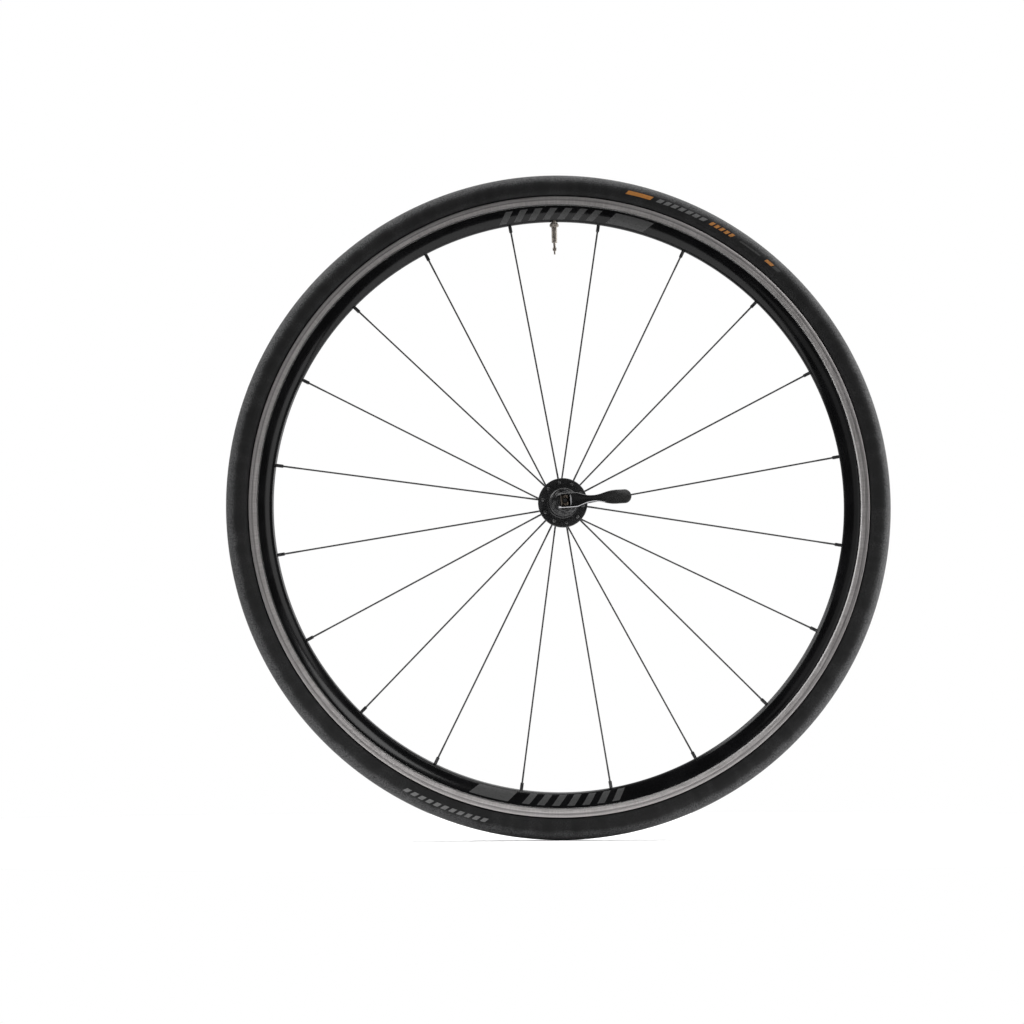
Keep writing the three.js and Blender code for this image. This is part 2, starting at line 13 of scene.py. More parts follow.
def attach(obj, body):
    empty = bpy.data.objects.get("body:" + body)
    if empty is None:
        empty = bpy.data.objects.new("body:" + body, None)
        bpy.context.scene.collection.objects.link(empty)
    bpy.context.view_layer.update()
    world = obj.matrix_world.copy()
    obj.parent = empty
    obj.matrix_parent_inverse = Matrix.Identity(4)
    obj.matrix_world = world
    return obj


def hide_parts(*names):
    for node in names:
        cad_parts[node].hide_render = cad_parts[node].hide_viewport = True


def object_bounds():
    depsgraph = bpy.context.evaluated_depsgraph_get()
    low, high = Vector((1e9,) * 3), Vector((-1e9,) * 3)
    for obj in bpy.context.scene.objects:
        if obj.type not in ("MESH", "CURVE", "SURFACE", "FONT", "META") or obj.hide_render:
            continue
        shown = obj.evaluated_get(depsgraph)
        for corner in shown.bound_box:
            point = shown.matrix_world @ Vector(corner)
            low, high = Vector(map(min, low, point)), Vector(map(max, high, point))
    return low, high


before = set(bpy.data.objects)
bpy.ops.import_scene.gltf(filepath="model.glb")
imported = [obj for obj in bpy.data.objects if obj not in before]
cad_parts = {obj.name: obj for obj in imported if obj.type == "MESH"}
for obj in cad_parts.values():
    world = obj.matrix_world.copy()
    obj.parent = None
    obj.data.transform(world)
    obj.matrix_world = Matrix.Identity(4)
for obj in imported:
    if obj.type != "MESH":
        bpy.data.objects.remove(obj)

MM = 0.001
NEAR = -1
FAR = 1
SIDE_NAMES = {NEAR: "near", FAR: "far"}
cad_low, cad_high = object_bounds()

# ---------- dimensions, which follow the CAD model ----------

TYRE_R = 339.3
TYRE_HALF_WIDTH = 13.4
TYRE_CENTRE_R = 325.4  # where the tyre is widest
TYRE_LOWER_RISE = 11.4
TREAD = 3.3
SIDEWALL = 1.7
TUBE_R = 9.8
TUBE_CENTRE_R = TYRE_CENTRE_R - 0.8
TUBE_NECK_HALF = 4.9
TUBE_WALL = 1.2

RIM_EDGE_R = 316.5
RIM_HALF_WIDTH = 10.3
RIM_NOSE_R = 291
TRACK_INNER_R = 306.8
BEAD_SEAT_R = 311
WELL_R = 307.6
WELL_HALF = 5
RIM_WALL = 1.6
NOSE_WALL = 2.6
NIPPLE_HOLE_R = 2.1
ACCESS_HOLE_R = 4.2  # in the well, over each nipple
VALVE_HOLE_R = 3.3

WHEEL_TURN = -0.95  # where the valve stands
SPOKES_PER_SIDE = 10
SPOKE_PITCH = 360 / SPOKES_PER_SIDE
SIDE_SHIFT = SPOKE_PITCH / 4  # from the valve to a side's first spoke
ELBOW_R = 1.6
NIPPLE_BORE_R = 1.15

FLANGE_INNER_Y = 36.4
FLANGE_WIDTH = 2.8
FLANGE_OUTER_Y = FLANGE_INNER_Y + FLANGE_WIDTH
FLANGE_R = {NEAR: 25, FAR: 17}
FLANGE_ROOT = 3.4  # from the spoke circle in to the flange's foot
CIRCLE_R = {NEAR: 20.3, FAR: 14}
COLLAR_R = {NEAR: 14.2, FAR: 11.9}
SPOKE_HOLE_R = 1.25
WAIST_R = 10.4
HUB_FACE_Y = 47.3
SEAT_R = 10.3  # the bearing's seat in the shell
SEAT_Y = 40.7
BEARING_Y = (41, 47)
INNER_RING_R = (4.8, 6.2)
OUTER_RING_R = (8.8, 10)
SEAL_R = (6.35, 8.65)
SEAL_Y = (46.2, 46.8)
AXLE_SHOULDER_R = 5.6
AXLE_R = 4.5
AXLE_BORE_R = 3.1
AXLE_END_Y = 54.6
CAP_R = 8.5
FORK_FACE_Y = 50
GAP = 0.3  # between pieces that don't touch

PIVOT_Y = -69.6
LEVER_LIFT = 4
LEVER_REACH = 66.5
PADDLE_R = 7
NECK_HALF = 3.2
LOBE_R = 7.2
CAM_OFFSET = 0.8
FORK_HALF = 7.3
CHEEK = 1.9
SLOT_HALF = FORK_HALF - CHEEK
PIVOT_HOLE_R = 3.3
BARREL_R = 4.5
PIN_R = 3  # the barrel's ends, inside the fork's cheeks
ROD_R = 2.5
ROD_BORE_R = 2.8
ROD_END_Y = 66
THREAD_FROM_Y = 40
THREAD_PITCH = 0.8
CLAMP_FACE_Y = 56  # of washer and nut, either side of the middle
CLAMP_R = 13.4
CLAMP_WIDTH = 5
CLAMP_RECESS_R = 8.6
RECESS_DEPTH = 2.6
SADDLE_HALF = 4.8
SADDLE_DEPTH = 1.8
NUT_R = 10
NUT_RECESS_R = 7.6
NUT_LENGTH = 13

STEM_R = 2.88
STEM_BORE_R = 1.7
STEM_TIP_R = 269.8
STEM_BASE_R = 311.9
STEM_PITCH = 0.79
RING_NUT_R = 4.6
RING_NUT_TOP_R = RIM_NOSE_R - 0.6
CORE_TIP_R = 257.8
CORE_KNOB_R = 2
CORE_LENGTH = 28

# ---------- finer detail ----------

GROOVE_R = 312.7  # the wear line in the brake track
TREAD_EDGE_R = 330
LINE_R = 320.4  # the raised line on the tyre over the rim
SIPE_PITCH = 2
SIPE_DEPTH = 0.45
BALL_COUNT = 13
BALL_R = 1.25
SPRING_Y = (55.2, 58.15)
SPRING_END_R = 3.8
SPRING_TURNS = 3.5
SPRING_WIRE_R = 0.4
INK = 0.05  # thickness of the printed marks

UPRIGHT = Matrix.Rotation(math.radians(90), 4, "X")  # turns the axle's +Y into +Z
LIFTED = Matrix.Rotation(math.radians(-LEVER_LIFT), 4, "Y")


def about_axle(angle):
    """The turn that takes the top of the wheel to an angle round it."""
    return Matrix.Rotation(math.radians(angle), 4, "Y")


# ---------- mesh helpers ----------


def spot(angle, radius, y):
    """The point at an angle round the wheel, a distance from the axle and a place along it."""
    turn = math.radians(angle)
    return Vector((radius * math.sin(turn), y, radius * math.cos(turn)))


def bridged(count, loops, closed):
    """Quads between neighbouring loops of count points each."""
    rows = loops if closed else loops - 1
    faces = []
    for row in range(rows):
        start = row * count
        after = ((row + 1) % loops) * count
        for i in range(count):
            j = (i + 1) % count
            faces.append((start + i, start + j, after + j, after + i))
    return faces


def turned(outline, steps, relief=None):
    """A closed (radius, y) outline turned about the axle. relief moves each point of each copy."""
    points = []
    for step in range(steps):
        angle = 360 * step / steps
        for radius, y in outline:
            if relief:
                radius, y = relief(angle, radius, y)
            points.append(spot(angle, radius, y))
    return points, bridged(len(outline), steps, closed=True)


def lofted(loops):
    """A closed skin through loops of equally many points, with a cap on each end."""
    count = len(loops[0])
    points = [point for loop in loops for point in loop]
    faces = bridged(count, len(loops), closed=False)
    faces.append(tuple(reversed(range(count))))
    faces.append(tuple(range(len(points) - count, len(points))))
    return points, faces


def swept(path, radii, sides):
    """A round bar along a path of points, with a radius at each of them."""
    loops = []
    across = (path[1] - path[0]).orthogonal().normalized()
    for i, point in enumerate(path):
        ahead = (path[min(i + 1, len(path) - 1)] - path[max(i - 1, 0)]).normalized()
        across = (across - ahead * across.dot(ahead)).normalized()
        other = ahead.cross(across)
        loops.append([
            point + (across * math.cos(turn) + other * math.sin(turn)) * radii[i]
            for turn in (2 * math.pi * k / sides for k in range(sides))
        ])
    return lofted(loops)


def bar(start, end, radius, sides):
    """A straight round bar between two points."""
    return swept([Vector(start), Vector(end)], [radius, radius], sides)


def moved(shape, matrix):
    points, faces = shape
    return [matrix @ point for point in points], faces


def merged(shapes):
    """Several shapes as one."""
    points = []
    faces = []
    for more, more_faces in shapes:
        start = len(points)
        points.extend(more)
        faces.extend(tuple(start + corner for corner in face) for face in more_faces)
    return points, faces


def block(low, high):
    """A box between two corners, used to cut with."""
    ends = [(low[0], high[0]), (low[1], high[1]), (low[2], high[2])]
    loops = [
        [Vector((x, ends[1][a], ends[2][b])) for a, b in ((0, 0), (1, 0), (1, 1), (0, 1))]
        for x in ends[0]
    ]
    return lofted(loops)


def both_sides(half):
    """A half outline closed with its mirror image. Points on the middle aren't doubled."""
    mirror = [(radius, -y) for radius, y in reversed(half) if abs(y) > 1e-6]
    return half + mirror


def shifted(radius, y, steps):
    """Outline points given by how far they are from a radius and a place along the axle."""
    return [(radius + out, y + along) for out, along in steps]


def on_side(outline, side):
    """An outline drawn for the far side, on the side given."""
    return [(radius, side * y) for radius, y in outline]


def tooth(angle, pitch, depth):
    """A depth that comes and goes every pitch degrees."""
    return depth if int(angle / pitch) % 2 else 0


def knurled(beyond_r, pitch, depth):
    """Relief with teeth on everything beyond a radius."""
    def relief(angle, radius, y):
        if radius > beyond_r:
            radius -= tooth(angle, pitch, depth)
        return radius, y
    return relief


def threaded(low, high, pitch, depth):
    """Relief with a screw thread between two places along the axle."""
    def relief(angle, radius, y):
        if low < y < high:
            radius -= depth * abs(((y / pitch - angle / 360) % 1) * 2 - 1)
        return radius, y
    return relief


def rounded(points, radius, steps=3):
    """A closed outline with its corners rounded off, as far as their neighbours allow."""
    result = []
    for i, point in enumerate(points):
        here = Vector(point)
        before = Vector(points[i - 1])
        after = Vector(points[(i + 1) % len(points)])
        reach = min(radius, (before - here).length * 0.45, (after - here).length * 0.45)
        start = here + (before - here).normalized() * reach
        end = here + (after - here).normalized() * reach
        for k in range(steps + 1):
            t = k / steps
            result.append(tuple(start * (1 - t) ** 2 + here * 2 * t * (1 - t) + end * t * t))
    return result


def bezier(corners, steps):
    """Points on a cubic curve with four control points."""
    a, b, c, d = (Vector(corner) for corner in corners)
    curve = []
    for k in range(steps + 1):
        t = k / steps
        s = 1 - t
        curve.append(a * s ** 3 + b * 3 * s * s * t + c * 3 * s * t * t + d * t ** 3)
    return curve


def value_at(curve, x):
    """The height of a curve of (x, height) points, in order of x, at x."""
    for (x0, h0), (x1, h1) in zip(curve, curve[1:]):
        if x <= x1:
            return h0 + (h1 - h0) * (x - x0) / max(x1 - x0, 1e-6)
    return curve[-1][1]


def placed(name, data):
    """A new object in the scene."""
    obj = bpy.data.objects.new(name, data)
    bpy.context.scene.collection.objects.link(obj)
    return obj


def mesh_object(name, shape, materials, crease):
    points, faces = shape
    mesh = bpy.data.meshes.new(name)
    mesh.from_pydata([point * MM for point in points], [], faces)
    work = bmesh.new()
    work.from_mesh(mesh)
    bmesh.ops.remove_doubles(work, verts=work.verts, dist=1e-7)
    bmesh.ops.recalc_face_normals(work, faces=work.faces)
    work.to_mesh(mesh)
    work.free()
    for material in materials:
        mesh.materials.append(material)
    shade(mesh, crease)
    return placed(name, mesh)


def shade(mesh, crease):
    """Smooth shading, except over edges sharper than the crease."""
    mesh.shade_smooth()
    mesh.set_sharp_from_angle(angle=math.radians(crease))


def cut(obj, shape, crease):
    """Takes a closed shape out of an object."""
    tool = mesh_object("tool", shape, [], crease)
    cutting = obj.modifiers.new("cut", "BOOLEAN")
    cutting.operation = "DIFFERENCE"
    cutting.solver = "MANIFOLD"
    cutting.object = tool
    depsgraph = bpy.context.evaluated_depsgraph_get()
    whole = obj.data
    obj.data = bpy.data.meshes.new_from_object(obj.evaluated_get(depsgraph))
    obj.data.name = whole.name
    obj.modifiers.clear()
    bpy.data.meshes.remove(whole)
    bpy.data.meshes.remove(tool.data)
    shade(obj.data, crease)


def add(name, shape, material, body, crease=35, holes=None):
    """A piece of the wheel. It rides on a body and stands for the CAD node of its name, if any."""
    materials = material if isinstance(material, list) else [material]
    obj = mesh_object(name, shape, materials, crease)
    if holes:
        cut(obj, holes, crease)
    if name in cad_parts:
        obj.name = f"{name}_look"
        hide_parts(name)
    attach(obj, body)
    return obj


# ---------- material helpers ----------


def feed(tree, socket, value):
    """Puts a value, or another node's output, into a socket."""
    if isinstance(value, bpy.types.NodeSocket):
        tree.links.new(value, socket)
    else:
        socket.default_value = value


def shader_node(tree, kind, inputs, **settings):
    """A new shader node with its settings and inputs filled in."""
    node = tree.nodes.new(f"ShaderNode{kind}")
    for key, value in settings.items():
        setattr(node, key, value)
    for key, value in inputs.items():
        feed(tree, node.inputs[key], value)
    return node


class Finish:
    """One procedural material, put together round a Principled shader."""

    def __init__(self, name, roughness, metallic=0.0, specular=0.5):
        self.material = bpy.data.materials.new(name)
        self.material.use_nodes = True
        self.tree = self.material.node_tree
        self.shader = self.tree.nodes["Principled BSDF"]
        self.shader.inputs["Roughness"].default_value = roughness
        self.shader.inputs["Metallic"].default_value = metallic
        self.shader.inputs["Specular IOR Level"].default_value = specular
        self.place = self.node("TexCoord", {}).outputs["Object"]

    def node(self, kind, inputs, **settings):
        return shader_node(self.tree, kind, inputs, **settings)

    def maths(self, operation, a, b=0.0):
        return self.node("Math", {0: a, 1: b}, operation=operation).outputs[0]

    def times(self, a, b):
        return self.maths("MULTIPLY", a, b)

    def ramp(self, value, low, high):
        """0 where a value is low or less, 1 where it is high or more."""
        inputs = {"Value": value, "From Min": low, "From Max": high}
        return self.node("MapRange", inputs, interpolation_type="SMOOTHSTEP").outputs["Result"]

    def noise(self, scale, detail=4.0, place=None):
        inputs = {"Vector": place or self.place, "Scale": scale, "Detail": detail}
        return self.node("TexNoise", inputs).outputs["Fac"]

    def wheel_place(self, around, outwards, along):
        """The wheel's own coordinates, each stretched: radians round it, then metres out and along."""
        x, y, z = self.node("SeparateXYZ", {0: self.place}).outputs
        angle = self.times(self.maths("ARCTAN2", x, z), around)
        inputs = {0: angle, 1: self.times(self.radius(), outwards), 2: self.times(y, along)}
        return self.node("CombineXYZ", inputs).outputs[0]

    def radius(self):
        """Distance from the axle in metres."""
        flat = self.node("VectorMath", {0: self.place, 1: (1, 0, 1)}, operation="MULTIPLY")
        return self.node("VectorMath", {0: flat.outputs[0]}, operation="LENGTH").outputs["Value"]

    def beyond(self, low, high):
        """0 up to one radius in millimetres, and 1 from the other one outwards."""
        return self.ramp(self.radius(), low * MM, high * MM)

    def blend(self, share, a, b):
        """A colour between two others."""
        inputs = {"Factor": share}
        for index, value in ((6, a), (7, b)):
            inputs[index] = (*value, 1.0) if isinstance(value, tuple) else value
        return self.node("Mix", inputs, data_type="RGBA").outputs[2]

    def colour(self, value):
        feed(self.tree, self.shader.inputs["Base Color"], value)

    def roughness(self, share, low, high):
        """Roughness that goes from low to high with a share."""
        spread = self.node("MapRange", {"Value": share, "To Min": low, "To Max": high})
        feed(self.tree, self.shader.inputs["Roughness"], spread.outputs["Result"])

    def bump(self, height, depth, strength=1.0):
        """Relief of a depth in millimetres, on top of any put there before."""
        node = self.node("Bump", {"Strength": strength, "Distance": depth * MM, "Height": height})
        normal = self.shader.inputs["Normal"]
        if normal.is_linked:
            feed(self.tree, node.inputs["Normal"], normal.links[0].from_socket)
        feed(self.tree, normal, node.outputs["Normal"])


# ---------- materials ----------


def grey(level):
    return (level, level, level)


def tyre_rubber():
    """Black sidewall with moulded radial lines, and a tread gone grey with dust."""
    finish = Finish("tyre_rubber", 0.75, specular=0.28)
    radius = finish.radius()
    patches = finish.noise(22, 5, finish.wheel_place(1, 1, 1))
    grain = finish.noise(900, 3)
    wavy_radius = finish.maths("ADD", radius, finish.times(patches, 6 * MM))
    worn = finish.ramp(wavy_radius, (TREAD_EDGE_R + 1.5) * MM, (TREAD_EDGE_R + 7.5) * MM)
    dust = finish.times(worn, finish.ramp(grain, 0.24, 0.72))
    scuffs = finish.times(finish.ramp(patches, 0.35, 0.7), finish.ramp(grain, 0.38, 0.62))
    sidewall = finish.blend(scuffs, (0.0055, 0.0055, 0.0058), (0.019, 0.019, 0.0195))
    finish.colour(finish.blend(dust, sidewall, (0.085, 0.085, 0.087)))
    finish.roughness(finish.noise(40), 0.55, 0.85)
    finish.bump(grain, 0.14)
    lines = finish.noise(1, 2, finish.wheel_place(260, 12, 12))
    finish.bump(lines, 0.25, 0.7)
    return finish.material


def tape_cloth():
    finish = Finish("rim_tape_cloth", 0.85)
    weave = finish.noise(1, 2, finish.wheel_place(900, 30, 1800))
    finish.colour(finish.blend(weave, (0.42, 0.4, 0.35), (0.66, 0.64, 0.58)))
    finish.bump(weave, 0.15)
    return finish.material


def brake_track():
    """Bare aluminium, turned in a lathe and then scored by brake blocks, with a painted highlight on the
    inner bevel.
    """
    finish = Finish("brake_track", 0.4, metallic=1.0)
    turning = finish.noise(1, 2, finish.wheel_place(2, 1600, 1))
    scoring = finish.noise(1, 4, finish.wheel_place(14, 900, 1))
    chatter = finish.noise(1, 2, finish.wheel_place(230, 60, 1))
    from_groove = finish.maths("ABSOLUTE", finish.maths("SUBTRACT", finish.radius(), GROOVE_R * MM))
    groove = finish.maths("SUBTRACT", 1.0, finish.ramp(from_groove, 0.2 * MM, 0.9 * MM))
    marks = finish.maths("ADD", scoring, chatter)
    worn = finish.blend(finish.ramp(marks, 0.6, 1.4), (0.42, 0.4, 0.395), (0.58, 0.555, 0.55))
    off_bevel = finish.beyond(TRACK_INNER_R + 0.9, TRACK_INNER_R + 2)
    outer_half = finish.beyond(GROOVE_R - 1.5, GROOVE_R - 0.3)
    rubbed = finish.blend(finish.times(outer_half, 0.5), worn, (0.2, 0.19, 0.19))
    # The inner bevel is coloured near-white: a painted highlight along the track's inner edge.
    with_bevel_highlight = finish.blend(off_bevel, (0.9, 0.88, 0.87), rubbed)
    finish.colour(finish.blend(finish.times(groove, 0.45), with_bevel_highlight, (0.16, 0.155, 0.155)))
    finish.roughness(finish.times(off_bevel, scoring), 0.2, 0.62)
    finish.bump(turning, 0.03)
    finish.bump(chatter, 0.03, 0.4)
    return finish.material


def bare_edge_and_highlight():
    """Bright metal where an edge has lost its black. On the lever it is also a painted highlight."""
    finish = Finish("bare_edge_and_highlight", 0.25, metallic=1.0)
    wear = finish.noise(420, 4)
    finish.colour(finish.blend(wear, (0.3, 0.3, 0.31), (0.55, 0.55, 0.56)))
    finish.roughness(wear, 0.18, 0.4)
    finish.bump(finish.noise(2200), 0.02)
    return finish.material


def black_wire():
    """Black oxide on a stainless spoke, rubbed a little along its length."""
    finish = Finish("spoke_black", 0.4, specular=0.5)
    rubbed = finish.noise(18, 3)
    fine = finish.noise(1500, 2)
    share = finish.times(finish.ramp(rubbed, 0.3, 0.7), finish.ramp(fine, 0.2, 0.8))
    finish.colour(finish.blend(share, grey(0.022), (0.045, 0.045, 0.046)))
    finish.roughness(rubbed, 0.42, 0.52)
    finish.bump(fine, 0.01)
    return finish.material


def anodised(name, dark, light, roughness):
    """Black anodising over turned aluminium, with the dust that settles on it."""
    finish = Finish(name, roughness, specular=0.5)
    dust = finish.times(finish.ramp(finish.noise(1300, 5), 0.5, 0.72), finish.noise(90, 4))
    finish.colour(finish.blend(dust, (dark, dark, dark * 1.06), grey(light)))
    finish.roughness(finish.noise(150), roughness * 0.8, roughness * 1.25)
    finish.bump(finish.noise(1, 2, finish.wheel_place(1, 4500, 2500)), 0.02)
    finish.bump(finish.noise(2600), 0.02)
    return finish.material


def lever_paint():
    """Black anodising, rubbed grey towards the paddle where a hand takes it."""
    finish = Finish("lever_black", 0.32, specular=0.35)
    rubbed = finish.times(finish.beyond(24, 52), finish.noise(160, 5))
    finish.colour(finish.blend(rubbed, (0.003, 0.003, 0.0032), grey(0.04)))
    finish.roughness(finish.noise(240), 0.2, 0.36)
    finish.bump(finish.noise(2400), 0.02)
    return finish.material


def cast_grey():
    """Grey satin metal with fine turned rings and dull blotches."""
    finish = Finish("clamp_grey", 0.42, metallic=0.85)
    rings = finish.noise(1, 3, finish.wheel_place(2, 800, 200))
    blotches = finish.times(finish.noise(330, 5), finish.ramp(rings, 0.3, 0.7))
    finish.colour(finish.blend(finish.ramp(blotches, 0.05, 0.55), (0.015, 0.015, 0.016), grey(0.09)))
    finish.roughness(blotches, 0.35, 0.6)
    finish.bump(finish.noise(1, 2, finish.wheel_place(3, 3500, 3500)), 0.06)
    return finish.material


def worn_look(name, roughness, wear, limits, shades, dullness, grain, depth, **kind):
    """Two shades that wear into each other, with a roughness that follows the wear, and fine grain."""
    finish = Finish(name, roughness, **kind)
    patches = finish.noise(*wear)
    finish.colour(finish.blend(finish.ramp(patches, *limits), *shades))
    finish.roughness(patches, *dullness)
    finish.bump(finish.noise(*grain), depth)
    return finish.material


def rim_paint():
    """Gloss black paint with faint handling marks."""
    shades = ((0.0035, 0.0035, 0.0038), (0.007, 0.007, 0.0075))
    grain = (700, 2)
    return worn_look("rim_black", 0.16, (30, 6), (0.4, 0.8), shades, (0.07, 0.2), grain, 0.01, specular=0.24)


def tube_rubber():
    shades = (grey(0.012), grey(0.06))
    return worn_look("tube_rubber", 0.5, (160, 5), (0.4, 0.75), shades, (0.4, 0.8), (1500,), 0.05)


def black_nipple():
    shades = ((0.009, 0.009, 0.01), (0.06, 0.06, 0.062))
    return worn_look("nipple_black", 0.35, (500, 4), (0.5, 0.8), shades, (0.28, 0.45), (2500,), 0.015)


def plain_metal(name, dark, light, roughness, tint=(1.0, 1.0, 1.0)):
    """Machined metal in one tint, duller in some places than in others."""
    shades = [tuple(level * part for part in tint) for level in (dark, light)]
    dullness = (roughness * 0.75, roughness * 1.3)
    return worn_look(name, roughness, (350, 5), (0.3, 0.7), shades, dullness, (1900, 3), 0.03, metallic=1.0)


def print_ink(name, dark, light):
    """Thin printed ink, worn through in specks."""
    finish = Finish(name, 0.5, specular=0.35)
    worn = finish.ramp(finish.noise(900, 4), 0.45, 0.8)
    finish.colour(finish.blend(worn, light, dark))
    finish.roughness(worn, 0.4, 0.65)
    finish.bump(finish.noise(1500), 0.02)
    return finish.material


RUBBER = tyre_rubber()
TUBE = tube_rubber()
TAPE = tape_cloth()
PAINT = rim_paint()
TRACK = brake_track()
EDGE = bare_edge_and_highlight()
WIRE = black_wire()
NIPPLE = black_nipple()
HEAD = plain_metal("spoke_head", 0.06, 0.13, 0.5)
HUB_BLACK = anodised("hub_black", 0.013, 0.06, 0.36)
CAP_BLACK = anodised("cap_black", 0.008, 0.05, 0.35)
LEVER_BLACK = lever_paint()
CLAMP_GREY = cast_grey()
STEEL = plain_metal("bearing_steel", 0.45, 0.6, 0.2)
ROD_STEEL = plain_metal("rod_steel", 0.3, 0.5, 0.3)
AXLE_ALLOY = plain_metal("axle_alloy", 0.35, 0.55, 0.35)
BRONZE = plain_metal("barrel_bronze", 0.03, 0.11, 0.35, (1.0, 0.82, 0.66))
NICKEL = plain_metal("valve_nickel", 0.16, 0.34, 0.35, (1.0, 0.9, 0.8))
SEAL = anodised("bearing_seal", 0.006, 0.02, 0.6)
SILVER_INK = print_ink("silver_print", grey(0.06), grey(0.15))
RIM_INK = print_ink("rim_print", grey(0.022), grey(0.055))
DULL_INK = print_ink("dull_print", grey(0.014), grey(0.036))
ORANGE_INK = print_ink("orange_print", (0.2, 0.08, 0.02), (0.5, 0.2, 0.04))

# ---------- rim ----------


def rim_wall():
    """The painted wall from the nose to the brake track, as (radius, half width)."""
    foot = (TRACK_INNER_R - 0.7, RIM_HALF_WIDTH - 0.45)
    curve = bezier(((RIM_NOSE_R, 0), (RIM_NOSE_R, 3.6), (RIM_NOSE_R + 8, 8.2), foot), 28)
    return [(point.x, point.y) for point in curve]


def rim_half():
    """Half of the rim's outline: wall, brake track, hook, bead seat and well."""
    inner_y = RIM_HALF_WIDTH - RIM_WALL
    return (
        rim_wall()
        + shifted(TRACK_INNER_R, RIM_HALF_WIDTH, ((0.1, -0.5), (1.1, -0.24), (2.4, -0.13), (4, -0.04)))
        + shifted(GROOVE_R, RIM_HALF_WIDTH, ((-0.5, 0), (-0.2, -0.05), (0.2, -0.05), (0.5, 0)))
        + shifted(RIM_EDGE_R, RIM_HALF_WIDTH, ((-0.7, 0), (-0.2, -0.2), (0, -0.7)))
        + shifted(RIM_EDGE_R, inner_y, ((-0.1, -0.6), (-0.6, -0.8), (-1.6, -0.5), (-2.4, 0)))
        + shifted(BEAD_SEAT_R, inner_y, ((0.4, 0), (0, -0.5)))
        + shifted(BEAD_SEAT_R, WELL_HALF, ((0, 1.4), (-0.5, 1)))
        + shifted(WELL_R, WELL_HALF, ((0.5, 0.2), (0, -0.3)))
    )


def rim_cavity():
    """The rim's hollow, between the nose and the well."""
    half = [(RIM_NOSE_R + NOSE_WALL, 3.3), (RIM_NOSE_R + 12, 7.5), (WELL_R - RIM_WALL, 8.1)]
    return turned(both_sides(half), 180)


def spoke_angles(side):
    return [WHEEL_TURN + side * SIDE_SHIFT + SPOKE_PITCH * index for index in range(SPOKES_PER_SIDE)]


def spoke_line(side):
    """Where a spoke drawn upwards leaves its elbow, its direction, and its length to the rim's nose."""
    start = Vector((0, side * (FLANGE_INNER_Y - ELBOW_R), CIRCLE_R[side] + ELBOW_R))
    end = Vector((0, 0, RIM_NOSE_R))
    return start, (end - start).normalized(), (end - start).length


def along_spoke(side, distance):
    """The matrix that carries +Z onto a spoke's line, at a distance along it."""
    start, direction, _ = spoke_line(side)
    turn = Vector((0, 0, 1)).rotation_difference(direction).to_matrix().to_4x4()
    return Matrix.Translation(start + direction * distance) @ turn


def drill(radius, low, high):
    """A round bar along +Z to cut with."""
    return bar((0, 0, low), (0, 0, high), radius, 20)


def valve_hole(low, high):
    return moved(drill(VALVE_HOLE_R, low, high), about_axle(WHEEL_TURN))


def rim_holes():
    """A nipple hole in the nose and an access hole in the well for every spoke, and the valve's."""
    shapes = []
    for side in (NEAR, FAR):
        length = spoke_line(side)[2]
        for angle in spoke_angles(side):
            nipple_hole = moved(drill(NIPPLE_HOLE_R, -6, 5.5), along_spoke(side, length))
            access_hole = drill(ACCESS_HOLE_R, WELL_R - 3, WELL_R + 3)
            shapes.append(moved(nipple_hole, about_axle(angle)))
            shapes.append(moved(access_hole, about_axle(angle)))
    shapes.append(valve_hole(RIM_NOSE_R - 2, RIM_NOSE_R + 5))
    shapes.append(valve_hole(WELL_R - 4, WELL_R + 3))
    return merged(shapes)


def bare_track(mesh, track_index):
    """Gives the brake tracks and the rim's edges the second material."""
    for face in mesh.polygons:
        radius = math.hypot(face.center.x, face.center.z) / MM
        half_width = abs(face.center.y) / MM
        if radius > TRACK_INNER_R - 0.1 and half_width > RIM_HALF_WIDTH - 2.6:
            face.material_index = track_index


def make_rim():
    skin = turned(both_sides(rim_half()), 720)
    rim = add("rim", skin, [PAINT, TRACK], "wheel", crease=28)
    cut(rim, rim_cavity(), 28)
    cut(rim, rim_holes(), 28)
    bare_track(rim.data, 1)


def make_rim_tape():
    half = WELL_HALF - 0.6
    low = WELL_R + GAP
    high = low + 0.5
    tape = [(low, -half), (low, half), (high, half), (high, -half)]
    hole = valve_hole(WELL_R - 2, WELL_R + 4)
    add("rim_tape", turned(tape, 360), TAPE, "wheel", holes=hole)


# ---------- tyre and tube ----------


def ellipse(radius, rise, half_width, start, end, steps):
    """(radius, y) points on an ellipse about a circle in the tyre. 0 degrees points away from the axle."""
    points = []
    for k in range(steps + 1):
        turn = math.radians(start + (end - start) * k / steps)
        points.append((radius + rise * math.cos(turn), half_width * math.sin(turn)))
    return points


def tyre_half():
    """Half of the tyre's outline, from the crown over the sidewall and bead to the inside."""
    outer_y = RIM_HALF_WIDTH - RIM_WALL - GAP
    crown_rise = TYRE_R - TYRE_CENTRE_R
    crown = ellipse(TYRE_CENTRE_R, crown_rise, TYRE_HALF_WIDTH, 0, 90, 34)
    sidewall = ellipse(TYRE_CENTRE_R, TYRE_LOWER_RISE, TYRE_HALF_WIDTH, 90, 134, 20)[1:]
    lining = ellipse(TYRE_CENTRE_R, TYRE_LOWER_RISE - SIDEWALL, TYRE_HALF_WIDTH - SIDEWALL, 130, 90, 8)
    under_tread = ellipse(TYRE_CENTRE_R, crown_rise - TREAD, TYRE_HALF_WIDTH - SIDEWALL, 80, 4, 10)
    bead = shifted(RIM_EDGE_R, outer_y, ((0.8, 0.35), (GAP, -0.5), (-0.3, -1.2), (-1.9, -0.95)))
    bead += shifted(BEAD_SEAT_R, outer_y, ((1.6, -0.3), (GAP, -0.8), (GAP, -3.1)))
    bead.append((RIM_EDGE_R - GAP, outer_y - 2.8))
    return crown + sidewall + bead + lining + under_tread


